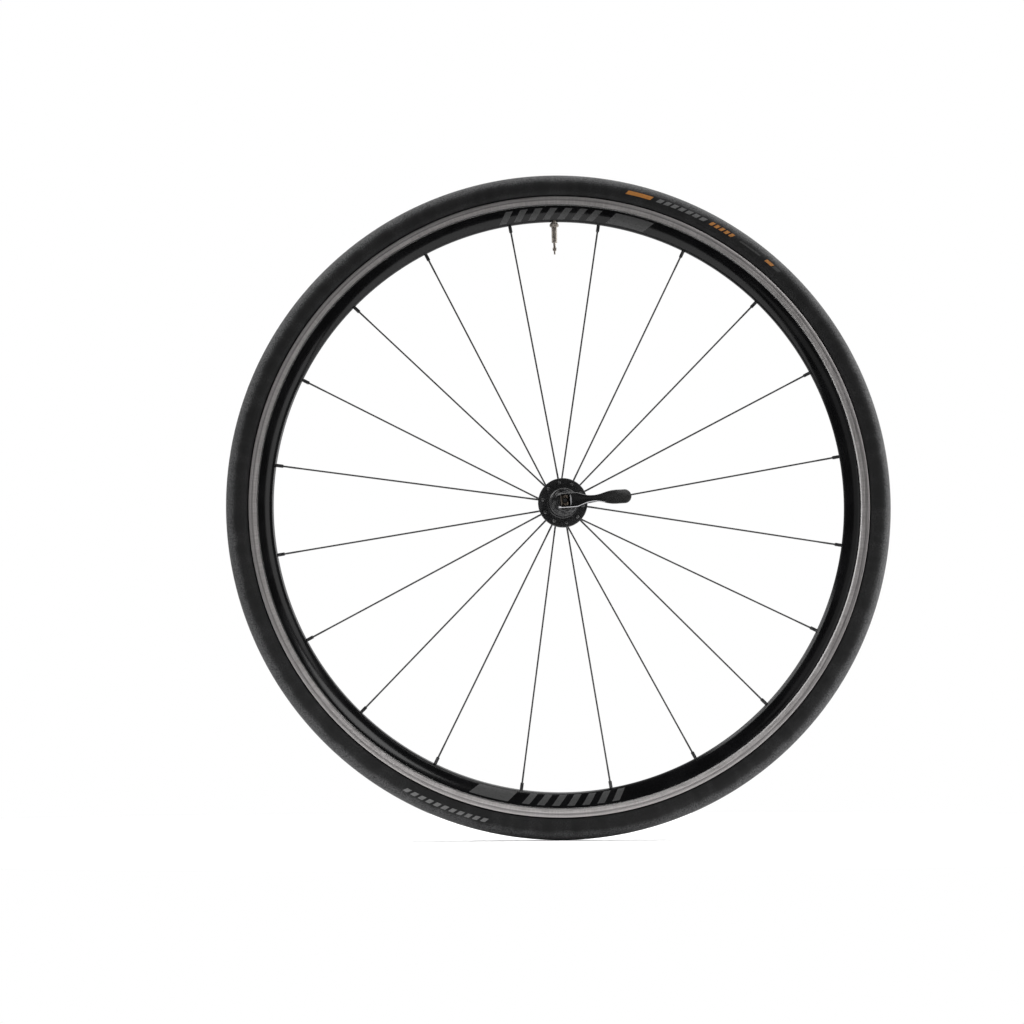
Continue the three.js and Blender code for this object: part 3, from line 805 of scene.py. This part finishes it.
def sipe_depth(angle, y):
    """Short slanted cuts on the tread's shoulders. Those of the far side stand between the near ones."""
    slant = (abs(y) - 9) * 0.09 + (0.5 * SIPE_PITCH if y > 0 else 0)
    phase = (angle + slant) % SIPE_PITCH
    share = max(0, 1 - abs(phase - SIPE_PITCH / 2) / 0.17)
    fade = max(0, min(1, (abs(y) - 5.5) / 1.2, (12 - abs(y)) / 1.2))
    return SIPE_DEPTH * share * fade


def tread_relief(angle, radius, y):
    """The sipes, a groove along the tread's edge, and a raised line over the rim."""
    from_centre = math.hypot((radius - TYRE_CENTRE_R) / (TYRE_R - TYRE_CENTRE_R), y / TYRE_HALF_WIDTH)
    if from_centre <= 0.97:
        return radius, y
    depth = 0
    if radius > TREAD_EDGE_R + 0.5:
        depth += sipe_depth(angle, y)
    if abs(radius - TREAD_EDGE_R) < 0.5:
        depth += 0.2 * (1 - abs(radius - TREAD_EDGE_R) / 0.5)
    if abs(radius - LINE_R) < 0.7:
        depth -= 0.35 * (1 - abs(radius - LINE_R) / 0.7)
    inwards = Vector((TYRE_CENTRE_R - radius, -y)).normalized()
    return radius + inwards.x * depth, y + inwards.y * depth


def make_tyre():
    skin = turned(both_sides(tyre_half()), 1800, tread_relief)
    add("tyre", skin, RUBBER, "wheel", crease=50)


def tube_outline(inset):
    neck = TUBE_NECK_HALF - inset
    bottom = WELL_R + 1.4 + inset
    half = [(bottom, neck - 0.6), (bottom + 0.5, neck - 0.2), (BEAD_SEAT_R + 5, neck)]
    return both_sides(half + ellipse(TUBE_CENTRE_R, TUBE_R - inset, TUBE_R - inset, 130, 10, 12))


def make_tube():
    """A tube with a wall, bored where the valve comes through."""
    tube = add("inner_tube", turned(tube_outline(0), 360), TUBE, "wheel")
    cut(tube, turned(tube_outline(TUBE_WALL), 360), 35)
    cut(tube, valve_hole(WELL_R, WELL_R + 6), 35)


# ---------- spokes and nipples ----------


def spoke_shape(side):
    """A butted spoke drawn upwards: domed head outside the flange, elbow, and a thinner middle."""
    start, direction, length = spoke_line(side)
    head_y = FLANGE_OUTER_Y + GAP
    hole_z = CIRCLE_R[side]
    dome = (
        (1.2, 0.7), (1.1, 1.25), (0.85, 1.7), (0.5, 1.9), (0.15, 1.85), (0, 1.5), (-0.2, 1), (-0.5, 0.95),
    )
    path = [Vector((0, side * (head_y + rise), hole_z)) for rise, _ in dome]
    radii = [radius for _, radius in dome]
    bend = math.acos(-direction.y * side)
    for k in range(9):
        turn = bend * k / 8
        path.append(Vector((
            0,
            side * (FLANGE_INNER_Y - ELBOW_R * math.sin(turn)),
            hole_z + ELBOW_R * (1 - math.cos(turn)),
        )))
        radii.append(0.93)
    butts = ((8, 0.96), (16, 0.86), (length - 26, 0.86), (length - 18, 0.96), (length - 3, 0.96))
    for distance, radius in (*butts, (length + NOSE_WALL, 0.9)):
        path.append(start + direction * distance)
        radii.append(radius)
    return swept(path, radii, 16)


def nipple_loop(height, half, squareness, corner_steps=24):
    """A loop round +Z, from a circle at squareness 2 to nearly a square at 8."""
    loop = []
    for k in range(corner_steps):
        turn = 2 * math.pi * k / corner_steps
        spread = abs(math.cos(turn)) ** squareness + abs(math.sin(turn)) ** squareness
        radius = half / spread ** (1 / squareness)
        loop.append(Vector((radius * math.cos(turn), radius * math.sin(turn), height)))
    return loop


def nipple_shape(side):
    """A nipple along +Z from the hub's side: wrench flats, a round neck, and a head inside the rim."""
    sections = (
        (-7.1, 1.3, 2), (-6.9, 1.55, 2.6), (-6.5, 1.66, 5), (-6.3, 1.68, 8), (-1.4, 1.68, 8), (-0.9, 1.7, 4),
        (-0.4, 1.72, 2), (2.9, 1.72, 2), (3.0, 2.2, 2), (3.5, 3.1, 2), (4.6, 3.1, 2), (4.9, 2.7, 2),
    )
    skin = lofted([nipple_loop(*section) for section in sections])
    return moved(skin, along_spoke(side, spoke_line(side)[2]))


def nipple_bore(side):
    return moved(drill(NIPPLE_BORE_R, -12, 8), along_spoke(side, spoke_line(side)[2]))


def rubbed_head(mesh):
    """Gives the part of a spoke outside its flange the second material."""
    for face in mesh.polygons:
        if abs(face.center.y) / MM > FLANGE_OUTER_Y + GAP:
            face.material_index = 1


def make_spokes():
    for side in (NEAR, FAR):
        wire = spoke_shape(side)
        nipple = nipple_shape(side)
        bore = nipple_bore(side)
        for index, angle in enumerate(spoke_angles(side)):
            turn = about_axle(angle)
            label = f"{SIDE_NAMES[side]}_{index + 1:02d}"
            spoke = add(f"spoke_{label}", moved(wire, turn), [WIRE, HEAD], "wheel", crease=50)
            rubbed_head(spoke.data)
            hole = moved(bore, turn)
            add(f"nipple_{label}", moved(nipple, turn), NIPPLE, "wheel", holes=hole)


# ---------- hub ----------


def hub_half(side):
    """The hub's outline on one side: waist, flange, collar and the seat of the bearing."""
    flange_r = FLANGE_R[side]
    collar_r = COLLAR_R[side]
    root_r = CIRCLE_R[side] - FLANGE_ROOT
    dish = 0.14 * (flange_r - collar_r)
    waist = bezier(((WAIST_R, 0), (WAIST_R, 22), (WAIST_R + 0.4, 30), (root_r, FLANGE_INNER_Y)), 12)
    half = [(point.x, point.y) for point in waist]
    half += shifted(flange_r, FLANGE_INNER_Y, ((-0.7, 0), (-0.2, 0.2), (0, 0.7)))
    half += shifted(flange_r, FLANGE_OUTER_Y, ((0, -0.7), (-0.2, -0.2), (-0.7, 0)))
    half += shifted(collar_r, FLANGE_OUTER_Y, ((1.6, -dish), (0.6, 0.4 - dish), (0, 1.4)))
    half += shifted(collar_r, HUB_FACE_Y, ((0, -2.6), (-0.35, -2.3), (-0.35, -0.9), (-1, -0.1), (-1.4, 0)))
    half += [(SEAT_R, HUB_FACE_Y), (SEAT_R, SEAT_Y), (7.2, SEAT_Y)]
    return on_side(half, side)


def make_hub_shell():
    outline = hub_half(NEAR) + hub_half(FAR)[:0:-1]
    low = FLANGE_INNER_Y - 1
    high = low + FLANGE_WIDTH + 2
    holes = []
    for side in (NEAR, FAR):
        circle_r = CIRCLE_R[side]
        hole = bar((0, side * low, circle_r), (0, side * high, circle_r), SPOKE_HOLE_R, 16)
        holes += [moved(hole, about_axle(angle)) for angle in spoke_angles(side)]
    add("hub_shell", turned(outline, 144), HUB_BLACK, "wheel", crease=30, holes=merged(holes))


def ring(radii, span, corner, side):
    """A flat ring about the axle with its corners broken."""
    outline = [(radii[0], span[0]), (radii[1], span[0]), (radii[1], span[1]), (radii[0], span[1])]
    return turned(on_side(rounded(outline, corner), side), 64)


def balls(side):
    """The balls of one bearing, each built from rings."""
    circle_r = (INNER_RING_R[1] + OUTER_RING_R[0]) / 2
    middle_y = side * sum(BEARING_Y) / 2
    turns = [math.pi * (k + 0.5) / 9 for k in range(9)]
    radii = [BALL_R * math.sin(turn) for turn in turns]
    shapes = []
    for index in range(BALL_COUNT):
        centre = spot(360 * index / BALL_COUNT, circle_r, middle_y)
        path = [centre + Vector((0, -BALL_R * math.cos(turn), 0)) for turn in turns]
        shapes.append(swept(path, radii, 14))
    return merged(shapes)


def make_bearings():
    for side in (NEAR, FAR):
        label = SIDE_NAMES[side]
        outer_ring = ring(OUTER_RING_R, BEARING_Y, 0.4, side)
        inner_ring = ring(INNER_RING_R, BEARING_Y, 0.4, side)
        add(f"bearing_outer_ring_{label}", outer_ring, STEEL, "wheel")
        add(f"bearing_inner_ring_{label}", inner_ring, STEEL, "axle")
        add(f"bearing_balls_{label}", balls(side), STEEL, "axle")
        add(f"bearing_seal_{label}", ring(SEAL_R, SEAL_Y, 0.2, side), SEAL, "wheel")


def make_axle():
    half = shifted(AXLE_SHOULDER_R, SEAT_Y, ((0, -0.4), (-0.3, 0))) + [(AXLE_R, SEAT_Y)]
    half += shifted(AXLE_R, AXLE_END_Y, ((0, -0.5), (-0.4, 0)))
    half += shifted(AXLE_BORE_R, AXLE_END_Y, ((0.2, 0), (0, -0.2)))
    add("axle", turned(both_sides(half), 64), AXLE_ALLOY, "axle", crease=30)


def make_end_caps():
    """Each cap has fine teeth on the face that grips the fork."""
    bore_r = AXLE_R + GAP
    inner_y = HUB_FACE_Y + GAP
    outline = [(bore_r, inner_y), (CAP_R, inner_y)]
    outline += shifted(CAP_R, FORK_FACE_Y, ((0, -0.5), (-0.5, 0)))
    outline += shifted(bore_r, FORK_FACE_Y, ((0.7, 0), (0, -0.3)))

    def teeth(angle, radius, y):
        if abs(y) == FORK_FACE_Y:
            y -= math.copysign(tooth(angle, 3.75, 0.25), y)
        return radius, y

    for side in (NEAR, FAR):
        cap = turned(on_side(outline, side), 192, teeth)
        add(f"end_cap_{SIDE_NAMES[side]}", cap, CAP_BLACK, "axle", crease=30)


# ---------- quick release ----------


def make_skewer_rod():
    """A steel rod with a thread under the adjusting nut, and a dull end inside the barrel."""
    low = PIVOT_Y - 2.6
    rows = 160
    length = ROD_END_Y - THREAD_FROM_Y - 0.6
    outline = [(0.05, low), (ROD_R - 0.4, low), (ROD_R, low + 0.4), (ROD_R, THREAD_FROM_Y)]
    outline += [(ROD_R, THREAD_FROM_Y + length * k / rows) for k in range(1, rows)]
    outline += [(ROD_R - 0.5, ROD_END_Y), (0.05, ROD_END_Y)]
    shape = turned(outline, 32, threaded(THREAD_FROM_Y, ROD_END_Y, THREAD_PITCH, 0.3))
    rod = add("skewer_rod", shape, [ROD_STEEL, SEAL], "skewer")
    for face in rod.data.polygons:
        if face.center.y / MM < low + 3:
            face.material_index = 1


def make_clamp_washer():
    """The washer under the lever, with turned steps and a knurled edge. Depths are from its face."""
    steps = [
        (ROD_BORE_R, RECESS_DEPTH), (CLAMP_RECESS_R, RECESS_DEPTH), (CLAMP_RECESS_R, 0),
        (CLAMP_R - 0.4, 0), (CLAMP_R - 0.1, 0.2), (CLAMP_R, 0.6), (CLAMP_R, 2.1), (CLAMP_R - 0.3, 2.6),
        (11.6, 3.1), (11.2, 3.6), (9.6, 4.2), (9.2, 4.8), (8.6, CLAMP_WIDTH), (ROD_BORE_R, CLAMP_WIDTH),
    ]
    outline = [(radius, -CLAMP_FACE_Y - depth) for radius, depth in steps]
    washer = turned(outline, 240, knurled(CLAMP_R - 0.35, 3, 0.3))
    add("clamp_washer", moved(washer, LIFTED), CLAMP_GREY, "clamp", 30)


def make_cam_saddle():
    """The dark pad on the washer, hollowed for the lever's lobes and bored for the rod."""
    lobe_top = PIVOT_Y + CAM_OFFSET + LOBE_R + GAP
    seat_r = 10
    seat_y = lobe_top - seat_r
    high = CLAMP_WIDTH + CLAMP_FACE_Y - 0.4
    saddle = block((-SADDLE_HALF, lobe_top - SADDLE_DEPTH, -FORK_HALF), (SADDLE_HALF, -high, FORK_HALF))
    seat = bar((0, seat_y, -9), (0, seat_y, 9), seat_r, 96)
    bore = bar((0, -70, 0), (0, -50, 0), ROD_BORE_R, 32)
    pad = add("cam_saddle", moved(saddle, LIFTED), SEAL, "clamp", crease=30, holes=moved(seat, LIFTED))
    cut(pad, moved(bore, LIFTED), 30)


def make_pivot_barrel():
    half = SLOT_HALF - GAP
    profile = [
        (0.05, -FORK_HALF), (PIN_R - 0.4, -FORK_HALF), (PIN_R, -FORK_HALF + 0.4), (PIN_R, -half),
        (BARREL_R - 0.4, -half), (BARREL_R, -half + 0.4),
    ]
    barrel = moved(moved(turned(both_sides(profile), 48), UPRIGHT), Matrix.Translation((0, PIVOT_Y, 0)))
    bore = bar((0, -80, 0), (0, -60, 0), ROD_BORE_R, 32)
    add("pivot_barrel", moved(barrel, LIFTED), BRONZE, "skewer", holes=moved(bore, LIFTED))


def lobe_arc(start, end, step):
    """Points round the cam lobe. Its centre stands off the pivot, and 180 degrees is away from the arm."""
    turns = [math.radians(angle) for angle in range(start, end, step)]
    return [Vector((LOBE_R * math.cos(turn), CAM_OFFSET + LOBE_R * math.sin(turn))) for turn in turns]


def lever_width():
    """Half width along the arm: the fork, a narrow neck and a round paddle."""
    fork_end = (10, FORK_HALF)
    neck = (28, NECK_HALF)
    paddle = (51, PADDLE_R)
    width = [Vector((-LOBE_R, FORK_HALF)), Vector(fork_end)]
    width += bezier((fork_end, (15, FORK_HALF), (19, NECK_HALF), neck), 16)
    width += bezier((neck, (37, NECK_HALF), (41, PADDLE_R), paddle), 16)
    tip_x = LEVER_REACH - PADDLE_R
    for k in range(25):
        turn = math.radians(90 - 90 * k / 24)
        width.append(Vector((tip_x + PADDLE_R * math.cos(turn), PADDLE_R * math.sin(turn))))
    return width


def lever_inner():
    """The face towards the wheel: round the lobe, then along the arm."""
    bend = (48, -2.6)
    arm = bezier(((6.6, 1.6), (20, -1), (35, -3.4), bend), 20)
    paddle = bezier((bend, (53, -2.2), (60, -1.6), (LEVER_REACH + 1, 0.4)), 10)
    return lobe_arc(180, 9, -5) + arm[4:] + paddle


def lever_outer():
    """The face away from the wheel."""
    bend = (50, -6)
    arm = bezier(((0, -4.5), (20, -4.7), (35, -7), bend), 20)
    paddle = bezier((bend, (57, -5.4), (62, -4), (LEVER_REACH + 1, -2.6)), 10)
    return lobe_arc(180, 233, 4) + arm + paddle


def lever_loop(x, half, outer, inner):
    """The lever's section at x: crowned faces, with broken edges all round."""
    edge = min(0.65, half * 0.3, (inner - outer) * 0.3)
    rise = min(0.5, half * 0.1)
    flat = half - edge
    corners = [(outer + rise * (share / 4) ** 2, share / 4 * flat) for share in range(-4, 5)]
    corners += [(outer + rise + edge, half), (inner - edge, half), (inner, flat)]
    corners += [(inner, share / 4 * flat) for share in range(3, -5, -1)]
    corners += [(inner - edge, -half), (outer + rise + edge, -half)]
    return [Vector((x, y, z)) for y, z in corners]


def edge_wear_and_highlights(mesh, unturn):
    """Bare metal along the outer edges of fork and neck, partly edge wear and partly painted highlight,
    brighter and longer along the lower one. The slot end's bevel gets it as a painted highlight.
    """
    lower_end = 40
    upper_end = 24
    for face in mesh.polygons:
        centre = unturn @ (face.center / MM)
        normal = unturn.to_3x3() @ face.normal
        lower = centre.z < 0
        on_edge = normal.y < -0.35 and abs(normal.z) > 0.45
        # painted highlight: the slot end's bevel faces the near side and is given bright bare metal
        slot_end_highlight = normal.y < -0.8 and -0.5 < normal.x < -0.25 and 3 < centre.x < 7
        on_tips = normal.x < -0.5 and normal.y < -0.25 and centre.x < -LOBE_R / 2
        if slot_end_highlight or (lower and (on_tips or (on_edge and centre.x < lower_end))):
            face.material_index = 1
        elif on_tips or (on_edge and centre.x < upper_end):
            face.material_index = 2


def lever_stations():
    """Places along the lever for its sections, closer together round its two ends."""
    stations = [-LOBE_R + 0.03]
    stations += [-LOBE_R * math.cos(math.radians(k * 7.5)) for k in range(1, 12)]
    stations += [2 + k * 1.5 for k in range(35)]
    tip_x = LEVER_REACH - PADDLE_R
    stations += [tip_x + PADDLE_R * math.sin(math.radians(k * 8)) for k in range(1, 12)]
    return stations


def make_lever():
    """The forked lever, with a bevel where the slot ends, which carries a painted highlight, and a hole for
    the barrel's pins.
    """
    width = lever_width()
    outer = lever_outer()
    inner = lever_inner()
    loops = [
        lever_loop(x, value_at(width, x), value_at(outer, x), value_at(inner, x)) for x in lever_stations()
    ]
    place = LIFTED @ Matrix.Translation((0, PIVOT_Y, 0))
    slot_end = 4.9
    slot = block((-15, -15, -SLOT_HALF), (slot_end, 15, SLOT_HALF))
    # This bevel is cut so that its faces can carry a painted highlight of bright metal.
    bevel = moved(block((-9, -6, -SLOT_HALF), (0, 0, SLOT_HALF)), Matrix.Rotation(math.radians(-21), 4, "Z"))
    bevel = moved(bevel, Matrix.Translation((slot_end + 1.3, -4.6, 0)))
    pivot = bar((0, 0, -20), (0, 0, 20), PIVOT_HOLE_R, 40)
    lever = add("lever", moved(lofted(loops), place), [LEVER_BLACK, EDGE, HEAD], "lever", 32)
    for hole in (slot, bevel, pivot):
        cut(lever, moved(hole, place), 32)
    edge_wear_and_highlights(lever.data, place.inverted())


def make_adjusting_nut():
    """A domed nut, fluted for the fingers, with teeth on the face that its heights start from."""
    steps = [
        (ROD_BORE_R, RECESS_DEPTH), (NUT_RECESS_R, RECESS_DEPTH), (NUT_RECESS_R, 0), (NUT_R - 0.4, 0),
        (NUT_R, 0.4), (NUT_R, 3.4), (9.5, 4.2), (7.9, 5.6), (7.3, 7), (7, 10.5), (6.6, 11.9), (5.7, 12.8),
        (4.6, NUT_LENGTH), (ROD_BORE_R, NUT_LENGTH),
    ]

    def grip(angle, radius, y):
        height = y - CLAMP_FACE_Y
        if radius > NUT_RECESS_R and height == 0:
            y += tooth(angle, 3, 0.3)
        if radius > 6.5 and height > 5:
            radius -= 0.7 * max(0, math.cos(math.radians(angle * 6))) ** 2
        return radius, y

    nut = turned(shifted(0, CLAMP_FACE_Y, steps), 240, grip)
    add("adjusting_nut", nut, CAP_BLACK, "nut", crease=32)


def spring(side, wide_r):
    """A conical coil that widens outwards along the axle."""
    start_y, end_y = SPRING_Y
    steps = int(SPRING_TURNS * 36)
    path = []
    for k in range(steps + 1):
        share = k / steps
        radius = SPRING_END_R + (wide_r - SPRING_END_R) * share
        path.append(spot(360 * SPRING_TURNS * share, radius, side * (start_y + (end_y - start_y) * share)))
    return swept(path, [SPRING_WIRE_R] * len(path), 10)


def make_springs():
    """One in the washer's recess and one in the nut's."""
    add("skewer_spring_near", spring(NEAR, 7.3), ROD_STEEL, "clamp", 60)
    add("skewer_spring_far", spring(FAR, 6.4), ROD_STEEL, "nut", 60)


# ---------- valve ----------


def along_valve(shape):
    """Takes a shape turned about the axle to the valve's line, where its y becomes the radius."""
    return moved(moved(shape, UPRIGHT), about_axle(WHEEL_TURN))


def make_valve_stem():
    rows = 260
    length = STEM_BASE_R - STEM_TIP_R - 1
    outline = [(STEM_BORE_R, STEM_TIP_R), (2.3, STEM_TIP_R), (2.8, STEM_TIP_R + 0.6)]
    outline += [(STEM_R, STEM_TIP_R + 0.6 + length * k / rows) for k in range(1, rows)]
    outline += [(STEM_R, STEM_BASE_R), (STEM_BORE_R, STEM_BASE_R)]
    relief = threaded(STEM_TIP_R + 1.2, STEM_BASE_R - 8, STEM_PITCH, 0.16)
    add("valve_stem", along_valve(turned(outline, 32, relief)), NICKEL, "wheel")


def make_ring_nut():
    """The knurled ring that holds the stem against the rim, as radii and heights below its rim face."""
    outline = shifted(0, RING_NUT_TOP_R, (
        (3.2, 0), (3.8, 0), (3.8, -0.9), (RING_NUT_R - 0.1, -1.4), (RING_NUT_R, -1.6),
        (RING_NUT_R, -3.7), (RING_NUT_R - 0.4, -4.1), (3.2, -4.1),
    ))
    shape = turned(outline, 96, knurled(RING_NUT_R - 0.05, 7.5, 0.22))
    add("valve_ring_nut", along_valve(shape), NICKEL, "wheel", crease=30)


def make_valve_core():
    """The pin and the small knurled nut that locks it, as radii and distances from its tip."""
    outline = shifted(0, CORE_TIP_R, (
        (0.03, 0), (0.7, 0), (0.85, 0.3), (0.95, 3.6), (1.5, 3.7), (CORE_KNOB_R, 4.2), (CORE_KNOB_R, 6.8),
        (1.5, 7.4), (1.3, 7.7), (1.3, CORE_LENGTH), (0.03, CORE_LENGTH),
    ))
    shape = turned(outline, 48, knurled(CORE_KNOB_R - 0.1, 15, 0.16))
    add("valve_core", along_valve(shape), NICKEL, "valve_core", crease=30)


# ---------- printed marks: plain bars, with no lettering ----------


def tyre_flank(radius):
    """Half width of the tyre's outside at a radius beyond its widest place."""
    share = (radius - TYRE_CENTRE_R) / (TYRE_R - TYRE_CENTRE_R)
    return TYRE_HALF_WIDTH * math.sqrt(max(0, 1 - share ** 2))


def rim_flank(radius):
    return value_at(rim_wall(), radius)


def mark(side, span, band, slant, flank):
    """A thin bar on a flank, between two angles and two radii, leaning by slant degrees."""
    start, end = span
    low, high = band
    along = max(2, int((end - start) / 0.4))
    across = 8
    loops = []
    for row in range(along + 1):
        top = []
        under = []
        for column in range(across + 1):
            share = column / across
            radius = low + (high - low) * share
            angle = start + (end - start) * row / along + slant * (share - 0.5)
            top.append(spot(angle, radius, side * (flank(radius) + INK)))
            under.append(spot(angle, radius, side * flank(radius)))
        loops.append(top + under[::-1])
    return lofted(loops)


def bars(side, start, end, count, filled, band, slant, flank):
    """Equal bars that fill part of the way between two angles."""
    pitch = (end - start) / count
    return merged([
        mark(side, (start + pitch * k, start + pitch * (k + filled)), band, slant, flank)
        for k in range(count)
    ])


def make_rim_marks():
    """Twice round each wall: seven leaning bars and one solid panel."""
    for side in (NEAR, FAR):
        for place, turn in (("top", 0), ("foot", 179.4)):
            label = f"{SIDE_NAMES[side]}_{place}"
            stripes = bars(side, -11.2 + turn, 9 + turn, 7, 0.5, (293.4, 304.6), 1.6, rim_flank)
            panel = mark(side, (10.2 + turn, 17.8 + turn), (293.6, 304.8), 1.6, rim_flank)
            add(f"rim_stripes_{label}", stripes, RIM_INK, "wheel")
            add(f"rim_panel_{label}", panel, RIM_INK, "wheel")


def make_tyre_marks():
    """On each sidewall: orange, grey and orange bars, a faint bar and a tag, and grey bars at the foot."""
    wide = (325.8, 330)
    tag = (326.6, 329.8)
    orange = ((12.2, 16.8, 1, 1, wide, 0.5), (28.2, 33.2, 5, 0.66, wide, 0.5), (40.1, 41.7, 1, 1, tag, 0.3))
    silver = ((17.9, 27.6, 7, 0.7, wide, 0.6), (193.5, 209.5, 11, 0.62, wide, 0.6))
    faint = ((34.4, 38.8, 1, 1, (326.8, 328.6), 0.3), (41.9, 43.3, 1, 1, tag, 0.3))
    colours = (("orange", orange, ORANGE_INK), ("silver", silver, SILVER_INK), ("faint", faint, DULL_INK))
    for side in (NEAR, FAR):
        for colour, rows, ink in colours:
            shape = merged([bars(side, *row, tyre_flank) for row in rows])
            add(f"tyre_{colour}_bars_{SIDE_NAMES[side]}", shape, ink, "wheel")


# ---------- stage ----------

FLOOR_Z = cad_low[2]
FLOOR_RADIUS = 1.05
FLOOR_BACK = 1.3
CAMERA_PLACE = (-238.4, -3355.8, -243)
CAMERA_TILT = 4.03
CAMERA_PAN = -3.22
CAMERA_LENS = 116.4
# brightness by the Y part of a direction
WORLD_RANGE = {"From Min": -0.15, "From Max": 0.45, "To Min": 0.04, "To Max": 0.8}


def floor_white():
    """A near-white studio surface with the slightest mottling."""
    finish = Finish("floor_white", 0.6, specular=0.2)
    finish.colour(finish.blend(finish.noise(3, 3), grey(0.92), grey(0.9062)))
    finish.bump(finish.noise(300), 0.02)
    return finish.material


def make_floor():
    """A round pale floor that ends well behind the wheel, where the white studio takes over."""
    sides = 96
    middle_y = FLOOR_BACK - FLOOR_RADIUS
    points = []
    for k in range(sides):
        turn = 2 * math.pi * k / sides
        points.append((FLOOR_RADIUS * math.cos(turn), middle_y + FLOOR_RADIUS * math.sin(turn), FLOOR_Z))
    mesh = bpy.data.meshes.new("floor")
    mesh.from_pydata(points, [], [tuple(range(sides))])
    mesh.materials.append(floor_white())
    floor = placed("floor", mesh)


def make_camera():
    """A long lens, a little below the axle and to the left of it."""
    data = bpy.data.cameras.new("camera")
    data.lens = CAMERA_LENS
    data.sensor_width = 36
    data.clip_end = 100
    camera = placed("camera", data)
    tilt = Matrix.Rotation(math.radians(CAMERA_TILT), 4, "X")
    pan = Matrix.Rotation(math.radians(CAMERA_PAN), 4, "Z")
    level = Matrix.Rotation(math.radians(90), 4, "X")
    camera.matrix_world = Matrix.Translation(Vector(CAMERA_PLACE) * MM) @ tilt @ pan @ level
    bpy.context.scene.camera = camera


def make_world():
    """A white studio, bright behind the wheel and dark on the camera's side. The camera sees it white."""
    world = bpy.data.worlds.new("studio")
    world.use_nodes = True
    tree = world.node_tree
    direction = shader_node(tree, "TexCoord", {}).outputs["Generated"]
    y = shader_node(tree, "SeparateXYZ", {0: direction}).outputs["Y"]
    behind = shader_node(tree, "MapRange", {"Value": y, **WORLD_RANGE}).outputs["Result"]
    seen = shader_node(tree, "LightPath", {}).outputs["Is Camera Ray"]
    strength = shader_node(tree, "Mix", {"Factor": seen, "A": behind, "B": 1.0}).outputs["Result"]
    shell = tree.nodes["Background"]
    feed(tree, shell.inputs["Strength"], strength)
    feed(tree, shell.inputs["Color"], (1, 1, 1, 1))
    bpy.context.scene.world = world


def sun(name, towards, strength, spread):
    """Even light over the whole floor, from the direction given, as soft as its spread in degrees."""
    data = bpy.data.lights.new(name, "SUN")
    data.energy = strength
    data.angle = math.radians(spread)
    light = placed(name, data)
    light.rotation_euler = Vector(towards).to_track_quat("Z", "Y").to_euler()


def softbox(name, place, size, power, aim=(0, 0, 0)):
    """A soft rectangular lamp, in metres and watts, that the camera doesn't see."""
    data = bpy.data.lights.new(name, "AREA")
    data.shape = "RECTANGLE"
    data.size, data.size_y = size
    data.energy = power
    light = placed(name, data)
    light.location = place
    light.rotation_euler = (Vector(aim) - Vector(place)).to_track_quat("-Z", "Y").to_euler()
    light.visible_camera = False


def make_lights():
    sun("overhead", (0.5, 0.3, 1), 2.8, 60)
    softbox("left_light", (-1.35, -2.9, 0.25), (0.8, 3.0), 4, aim=(0, 0, 0.25))
    softbox("front_glow", (-0.8, -4.2, 0.7), (1.3, 1.3), 6)
    softbox("upper_right_glow", (1.6, -2.9, 1.7), (1.0, 1.0), 15)
    softbox("right_light", (2.3, -1.7, 0.2), (1.0, 2.6), 15)
    softbox("right_back_light", (2.6, 0.7, 0.3), (1.5, 2.5), 64)
    softbox("upper_left_light", (-1.75, -0.35, 1.75), (1.0, 1.8), 28)
    softbox("upper_left_back_light", (-1.9, 0.7, 1.9), (1.5, 2.0), 34)


# ---------- the whole wheel ----------

make_rim()
make_rim_tape()
make_tyre()
make_tube()
make_spokes()
make_hub_shell()
make_bearings()
make_axle()
make_end_caps()
make_skewer_rod()
make_clamp_washer()
make_cam_saddle()
make_pivot_barrel()
make_lever()
make_adjusting_nut()
make_springs()
make_valve_stem()
make_ring_nut()
make_valve_core()
make_rim_marks()
make_tyre_marks()
make_floor()
make_camera()
make_world()
make_lights()
bpy.context.scene.view_settings.view_transform = "Standard"
